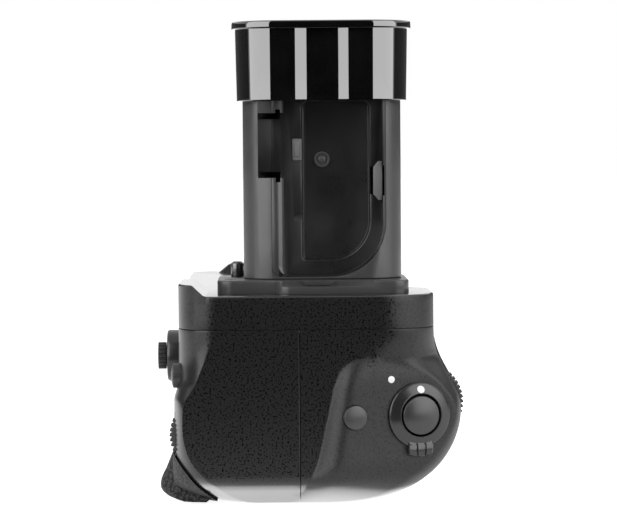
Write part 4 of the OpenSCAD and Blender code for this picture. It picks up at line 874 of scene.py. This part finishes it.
print("cap:", len(cap.data.polygons), "faces")

# %% [markdown]
# The buttons and the lever are turned pieces. The shutter button is a wide dome in the middle of
# a ring that falls away outwards, and the ring carries a ribbed tab under the thumb.

# %% Buttons and lock lever
def dome(r, crown, radius, depth, soft=0.35):
    """Profile of a domed button with a rounded rim."""
    rim = crown - (radius - math.sqrt(radius ** 2 - (r - soft) ** 2))
    rows = [(0.0, -depth), (r, -depth), (r, rim - soft)]
    rows += [(r - soft * (1 - math.cos(a)), rim - soft * (1 - math.sin(a)))
             for a in np.linspace(0.2, math.pi / 2, 6)]
    for k in np.linspace(1, 0, 14)[1:]:
        rr = (r - soft) * k
        rows.append((rr, crown - (radius - math.sqrt(radius ** 2 - rr ** 2))))
    return rows


for body, profile, place in (("shutter", dome(4.9, 2.8, 12, 3.4), on_pod(SHUTTER_Y)),
                             ("fn", dome(3.05, 1.0, 11, 3.4, 0.25), on_pod(FN_Y)),
                             ("af", dome(3.15, 2.0, 9, 2.4, 0.3), on_rear(*AF))):
    dress(turned(body + "_dome", profile, place), body, "button_black", satin_button, body + "_button")

ring_profile = [(5.4, -3.07), (6.25, -3.07), (6.25, 0.15), (8.05, 0.15), (8.25, 0.25), (8.3, 0.45),
                (8.25, 0.65), (8.05, 0.85), (7.7, 1.02), (6.9, 1.36), (6.2, 1.62), (5.85, 1.78),
                (5.65, 1.84), (5.48, 1.82), (5.4, 1.7)]
ring = turned("ring", ring_profile, on_pod(SHUTTER_Y), 96, ring=True)
tab_rings = []
half_tab = [(0.85, 1.0), (0.95, 0.72), (1.35, 0.72), (1.45, 1.0), (3.1, 1.0), (3.3, 0.9), (3.3, 0.2)]
ribs = [(-y, h) for y, h in half_tab[::-1]] + half_tab
for reach, tall, narrow in ((6.6, 1.2, 1.0), (7.3, 1.4, 1.0), (8.0, 1.6, 1.0), (9.0, 1.65, 0.98),
                            (9.8, 1.6, 0.95), (10.2, 1.45, 0.93), (10.4, 1.15, 0.9)):
    tab_rings.append([(reach - 0.045 * y * y * (reach > 7.5), y * narrow, 0.15 if h == 0.2 else h * tall)
                      for y, h in ribs])
tab = loft("tab", [placed(points, on_pod(SHUTTER_Y)) for points in tab_rings])
dress(joined("lever", [ring, tab]), "lever", "lever_black", satin_lever, "lock_lever")
print("buttons and lever:", pieces_made[-4:])

# %% [markdown]
# Two white dots show whether the lever is on: one on the ring, one on the pod. They are thin
# discs of paint, each laid on the surface that carries it.

# %% Index dots
def disc(name, r, origin, out):
    out = Vector(out).normalized()
    side = out.cross(Vector((0, 0, 1))).normalized()
    axes = (tuple(side), tuple(out.cross(side)), tuple(out))
    profile = [(r, -0.3), (r, 0.03), (r * 0.9, 0.07), (r * 0.5, 0.085), (0.0, 0.09)]
    return turned(name, profile, (origin, axes), 40)


dot_y, dot_z, nudge = 28.25, -21.3, 0.4
slope_y = float(end_x(dot_y + nudge, dot_z) - end_x(dot_y - nudge, dot_z)) / (2 * nudge)
slope_z = float(end_x(dot_y, dot_z + nudge) - end_x(dot_y, dot_z - nudge)) / (2 * nudge)
dress(disc("pod_dot", 0.88, (float(end_x(dot_y, dot_z)), dot_y, dot_z), (1.0, -slope_y, -slope_z)),
      "case", "case_black", white_paint)
fall = math.atan2(0.52, 1.2)
centre = placed([(-6.55, 0.0, 1.5)], on_pod(SHUTTER_Y))[0]
out = np.array([-math.sin(fall), 0.0, math.cos(fall)]) @ np.asarray(on_pod(SHUTTER_Y)[1])
dress(disc("ring_dot", 0.98, tuple(centre), tuple(out)), "lever", "lever_black", white_paint)
print("dots at", [round(float(c), 1) for c in centre])

# %% [markdown]
# The dials, the toothed cap of the joystick and the thumb wheel are cut from bar in the solids.
# A real one has its edges broken, so each gets a copy of its solid with small rounded edges.

# %% Pieces that are solids with rounded edges
def softened(node, name, body, slot, material, width=0.12):
    piece = copy_of(node, name)
    round_edges(piece, width, 2, 28)
    dress(piece, body, slot, material, node)


softened("front_dial", "front_dial_wheel", "front_wheel", "dial_black", dial_black)
softened("rear_dial", "rear_dial_wheel", "rear_wheel", "dial_black", dial_black)
softened("attachment_wheel", "thumb_wheel_gear", "thumb_wheel", "dial_black", dial_black, 0.1)
softened("joystick_cap", "stick_cap", "stick_top", "dial_black", dial_black, 0.1)
softened("door_catch", "door_catch_slider", "case", "catch_grey", catch_plastic, 0.15)
softened("door_spring", "door_spring_tab", "case", "steel", tab_plastic, 0.08)
softened("guide_pin", "locating_pin", "case", "steel", dark_steel, 0.15)
softened("tray_cover", "cover_plate", "tray", "case_black", paint, 0.25)
softened("tray_key", "cover_key", "key", "lever_black", satin_lever, 0.2)
softened("battery_tray", "tray_frame", "tray", "inner_black", inner, 0.2)
softened("stem_contact_block", "contact_block", "case", "inner_black", inner, 0.12)
softened("stem_contacts", "contact_blades", "case", "brass", brass, 0.1)

collar_profile = [(4.3, 0.05), (6.55, 0.05), (6.7, 0.2), (6.7, 2.7), (6.6, 3.1), (6.35, 3.4), (6.0, 3.5),
                  (5.7, 3.45), (5.3, 3.1), (4.8, 2.4), (4.45, 1.8), (4.3, 1.4)]
collar = turned("stick_collar", collar_profile, on_rear(*STICK), 72, ring=True)
dress(collar, "case", "lever_black", satin_lever, "joystick_collar")
print("pieces so far:", len(pieces_made))

# %% [markdown]
# Threads are spirals: the radius of each point follows a wave that climbs one pitch per turn.
# The same helper makes the camera screw, with the wave outwards, and the tripod socket.

# %% Threads, screw heads and socket
PITCH = 1.27


def thread(name, low, high, r_out, r_in, back=None, around=40, per_turn=8):
    """A threaded skin; back is the radius of its smooth side, or None for a full screw."""
    angle = np.linspace(0, 2 * math.pi, around, endpoint=False)
    rings = []
    for z in np.linspace(low, high, int((high - low) / PITCH * per_turn) + 1):
        wave = np.abs(2 * ((z / PITCH - angle / (2 * math.pi)) % 1.0) - 1)
        r = mix(r_in, r_out, np.clip(wave * 1.3 - 0.15, 0, 1))
        r = np.minimum(r, r_in + max(0.0, high - z) * 0.9) if back is None else r
        rings.append(at_height(circle(r, around), z))
    if back is not None:
        rings += [at_height(circle(back, around), z) for z in (high, low)]
    return loft(name, rings, capped=back is None)


screw_low = copy_of("attachment_screw", "screw_low")
carve(screw_low, [block("off", (-9, -9, -1.5), (9, 9, 9))])
camera_screw = joined("camera_screw", [screw_low, thread("spiral", -1.6, 5.0, 3.17, 2.6)])
dress(camera_screw, "screw", "steel", steel, "attachment_screw")

socket = copy_of("tripod_socket", "tripod_insert")
round_edges(socket, 0.2, 2, 40)
dress(socket, "case", "steel", steel, "tripod_socket")
dress(thread("tripod_thread", BASE + 0.35, BASE + 5.9, 3.19, 2.75, back=3.3), "case", "steel", steel)


def cross_heads(node, name, places, low, high):
    heads = copy_of(node, name)
    round_edges(heads, 0.12, 2, 40)
    bars = []
    for x, y in places:
        bars.append(block("bar", (x - 1.0, y - 0.22, low), (x + 1.0, y + 0.22, high)))
        bars.append(block("bar", (x - 0.22, y - 1.0, low), (x + 0.22, y + 1.0, high)))
    carve(heads, bars)
    dress(heads, "case", "steel", dark_steel, node)


cross_heads("base_screws", "floor_screws", BASE_SCREWS, BASE - 0.5, BASE + 0.95)
cross_heads("flange_screws", "foot_screws", FLANGE_SCREWS, 2.6, 4.0)
print("threads and screws:", pieces_made[-5:])

# %% [markdown]
# Everything else is inside the grip. Those solids are right as they are, so they stay and only
# take a finish of their own.

# %% Inner pieces keep their solids
inner_finishes = {
    steel: ["lever_clip", "wheel_axle", "front_dial_shaft", "rear_dial_shaft", "tray_tongue",
            "joystick_gimbal", "mechanism_plate"],
    brass: ["chamber_contacts", "tray_contacts"],
    inner: ["battery_chamber", "front_dial_bracket", "rear_dial_bracket", "joystick_base", "joystick_post",
            "control_switches", "af_switch"],
    board: ["main_board", "control_plate", "af_board"],
    flex: ["stem_flex"]}
for material, names in inner_finishes.items():
    for name in names:
        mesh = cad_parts[name].data
        mesh.materials.clear()
        mesh.materials.append(material)
print("pieces:", len(pieces_made), "inner solids:", sum(map(len, inner_finishes.values())))

# %% [markdown]
# The grip stands on a pale floor in a white studio. A switch on the kind of ray makes the floor
# and the world white to the camera and in reflections, and lets the world give only a soft fill to
# everything else, so that the floor keeps a faint shadow.

# %% Floor and world
scene = bpy.context.scene
scene.view_settings.view_transform = "Standard"


def backdrop_switch(nodes, links):
    """1 for camera, glossy and transmission rays, 0 for light that bounces."""
    path = nodes.new("ShaderNodeLightPath")
    first, second = nodes.new("ShaderNodeMath"), nodes.new("ShaderNodeMath")
    for step in (first, second):
        step.operation = "MAXIMUM"
    links.new(path.outputs["Is Camera Ray"], first.inputs[0])
    links.new(path.outputs["Is Glossy Ray"], first.inputs[1])
    links.new(first.outputs[0], second.inputs[0])
    links.new(path.outputs["Is Transmission Ray"], second.inputs[1])
    return second.outputs[0]


world = bpy.data.worlds.new("white_studio")
world.use_nodes = True
scene.world = world
nodes, links = world.node_tree.nodes, world.node_tree.links
strength = nodes.new("ShaderNodeMapRange")
FILL = 0.3
put(strength, {"To Min": FILL, "To Max": 1.0})
links.new(backdrop_switch(nodes, links), strength.inputs["Value"])
links.new(strength.outputs["Result"], nodes["Background"].inputs["Strength"])
put(nodes["Background"], {"Color": (1, 1, 1, 1)})

floor_paint, nodes, links = new_material("pale_floor")
nodes.remove(nodes["Principled BSDF"])
matt = nodes.new("ShaderNodeBsdfDiffuse")
put(matt, {"Color": (*grey(0.8), 1)})
lit = nodes.new("ShaderNodeEmission")
glow = nodes.new("ShaderNodeMath")
glow.operation = "MULTIPLY"
glow.inputs[1].default_value = 0.9
links.new(backdrop_switch(nodes, links), glow.inputs[0])
links.new(glow.outputs[0], lit.inputs["Strength"])
both = nodes.new("ShaderNodeAddShader")
links.new(matt.outputs[0], both.inputs[0])
links.new(lit.outputs[0], both.inputs[1])
links.new(both.outputs[0], nodes["Material Output"].inputs["Surface"])


def level_sheet(name, x0, x1, half, z, paint_of_sheet):
    """A level sheet between two X values, reaching a half width to both sides."""
    piece = solid(name, [(x0, -half, z), (x1, -half, z), (x1, half, z), (x0, half, z)], [[0, 1, 2, 3]])
    piece.data.materials.append(paint_of_sheet)
    return piece


floor = level_sheet("floor", -6000, 6000, 6000, BASE, floor_paint)
print("floor and world ready, fill", FILL)

# %% [markdown]
# A gloss surface shows exactly what stands around it. Two tall softboxes stand left and right of
# the camera. A black card behind the camera and a black cloth on the floor in front keep black
# plastic black, and low grey cards at the sides darken the edges of the stem and the cap.

# %% Softboxes, cards and cloth
def card_finish(name, tone):
    """Matt card of one tone."""
    material, nodes, links = new_material(name)
    put(nodes["Principled BSDF"], {"Base Color": (*grey(tone), 1), "Specular IOR Level": 0.0})
    return material


card_paint, side_paint = card_finish("black_card", 0.004), card_finish("grey_card", 0.1)
TARGET = Vector((0.06, 0.01, 0.02))


def around(angle, distance, height):
    """A point around the grip: 0 degrees is straight at the camera, positive to the right."""
    a = math.radians(angle)
    return Vector((TARGET.x + distance * math.cos(a), TARGET.y + distance * math.sin(a), height))


def card(name, start, end, distance, low, high, paint_of_card=card_paint):
    """A dark card bent round the grip between two angles."""
    angles = np.linspace(start, end, 9)
    points = [around(a, distance, z) / MM for z in (low, high) for a in angles]
    faces = [[k, k + 1, k + 10, k + 9] for k in range(8)]
    piece = solid(name, points, faces)
    piece.data.materials.append(paint_of_card)
    piece.visible_camera = False


def softbox(name, angle, distance, width, height, low, radiance):
    lamp = bpy.data.lights.new(name, "AREA")
    lamp.shape = "RECTANGLE"
    lamp.size, lamp.size_y = width, height
    lamp.energy = radiance * math.pi * width * height
    holder_of_lamp = bpy.data.objects.new(name, lamp)
    scene.collection.objects.link(holder_of_lamp)
    spot = around(angle, distance, low + height / 2)
    holder_of_lamp.location = spot
    look = Vector((TARGET.x, TARGET.y, spot.z)) - spot
    holder_of_lamp.rotation_euler = look.to_track_quat("-Z", "Y").to_euler()


BOX_RADIANCE = 3.0
for side, name in ((-1, "left"), (1, "right")):
    softbox(name + "_softbox", side * 52.5, 1.3, 1.6, 1.7, -0.05, BOX_RADIANCE)
    card(name + "_card", side * 88, side * 172, 1.0, 0.0, 0.3, side_paint)
card("camera_card", -24, 24, 1.15, -0.054, 2.2)
front_cloth = level_sheet("front_cloth", 150, 1300, 900, BASE + 0.5, card_paint)
front_cloth.visible_camera = False
front_cloth.visible_shadow = False

# %% [markdown]
# The camera looks straight at the hand-grip end from 70 cm. Its lens is chosen so that a
# millimetre on the end face covers four pixels of the 617 by 530 picture, and it leans by half a
# degree, as the hand-held view does.

# %% Camera
EYE, AIM, FOCAL = Vector((772.0, 0.0, 39.0)), Vector((72.0, 7.625, 7.75)), 163.4
LEAN = math.radians(0.45)
lens = bpy.data.cameras.new("view")
lens.lens = FOCAL
lens.sensor_width = 36.0
camera = bpy.data.objects.new("view", lens)
scene.collection.objects.link(camera)
camera.location = EYE * MM
aim = AIM * MM - camera.location
camera.rotation_euler = (aim.to_track_quat("-Z", "Y").to_matrix() @ Matrix.Rotation(-LEAN, 3, "Z")).to_euler()
scene.camera = camera
print("camera at", [round(c, 3) for c in camera.location])
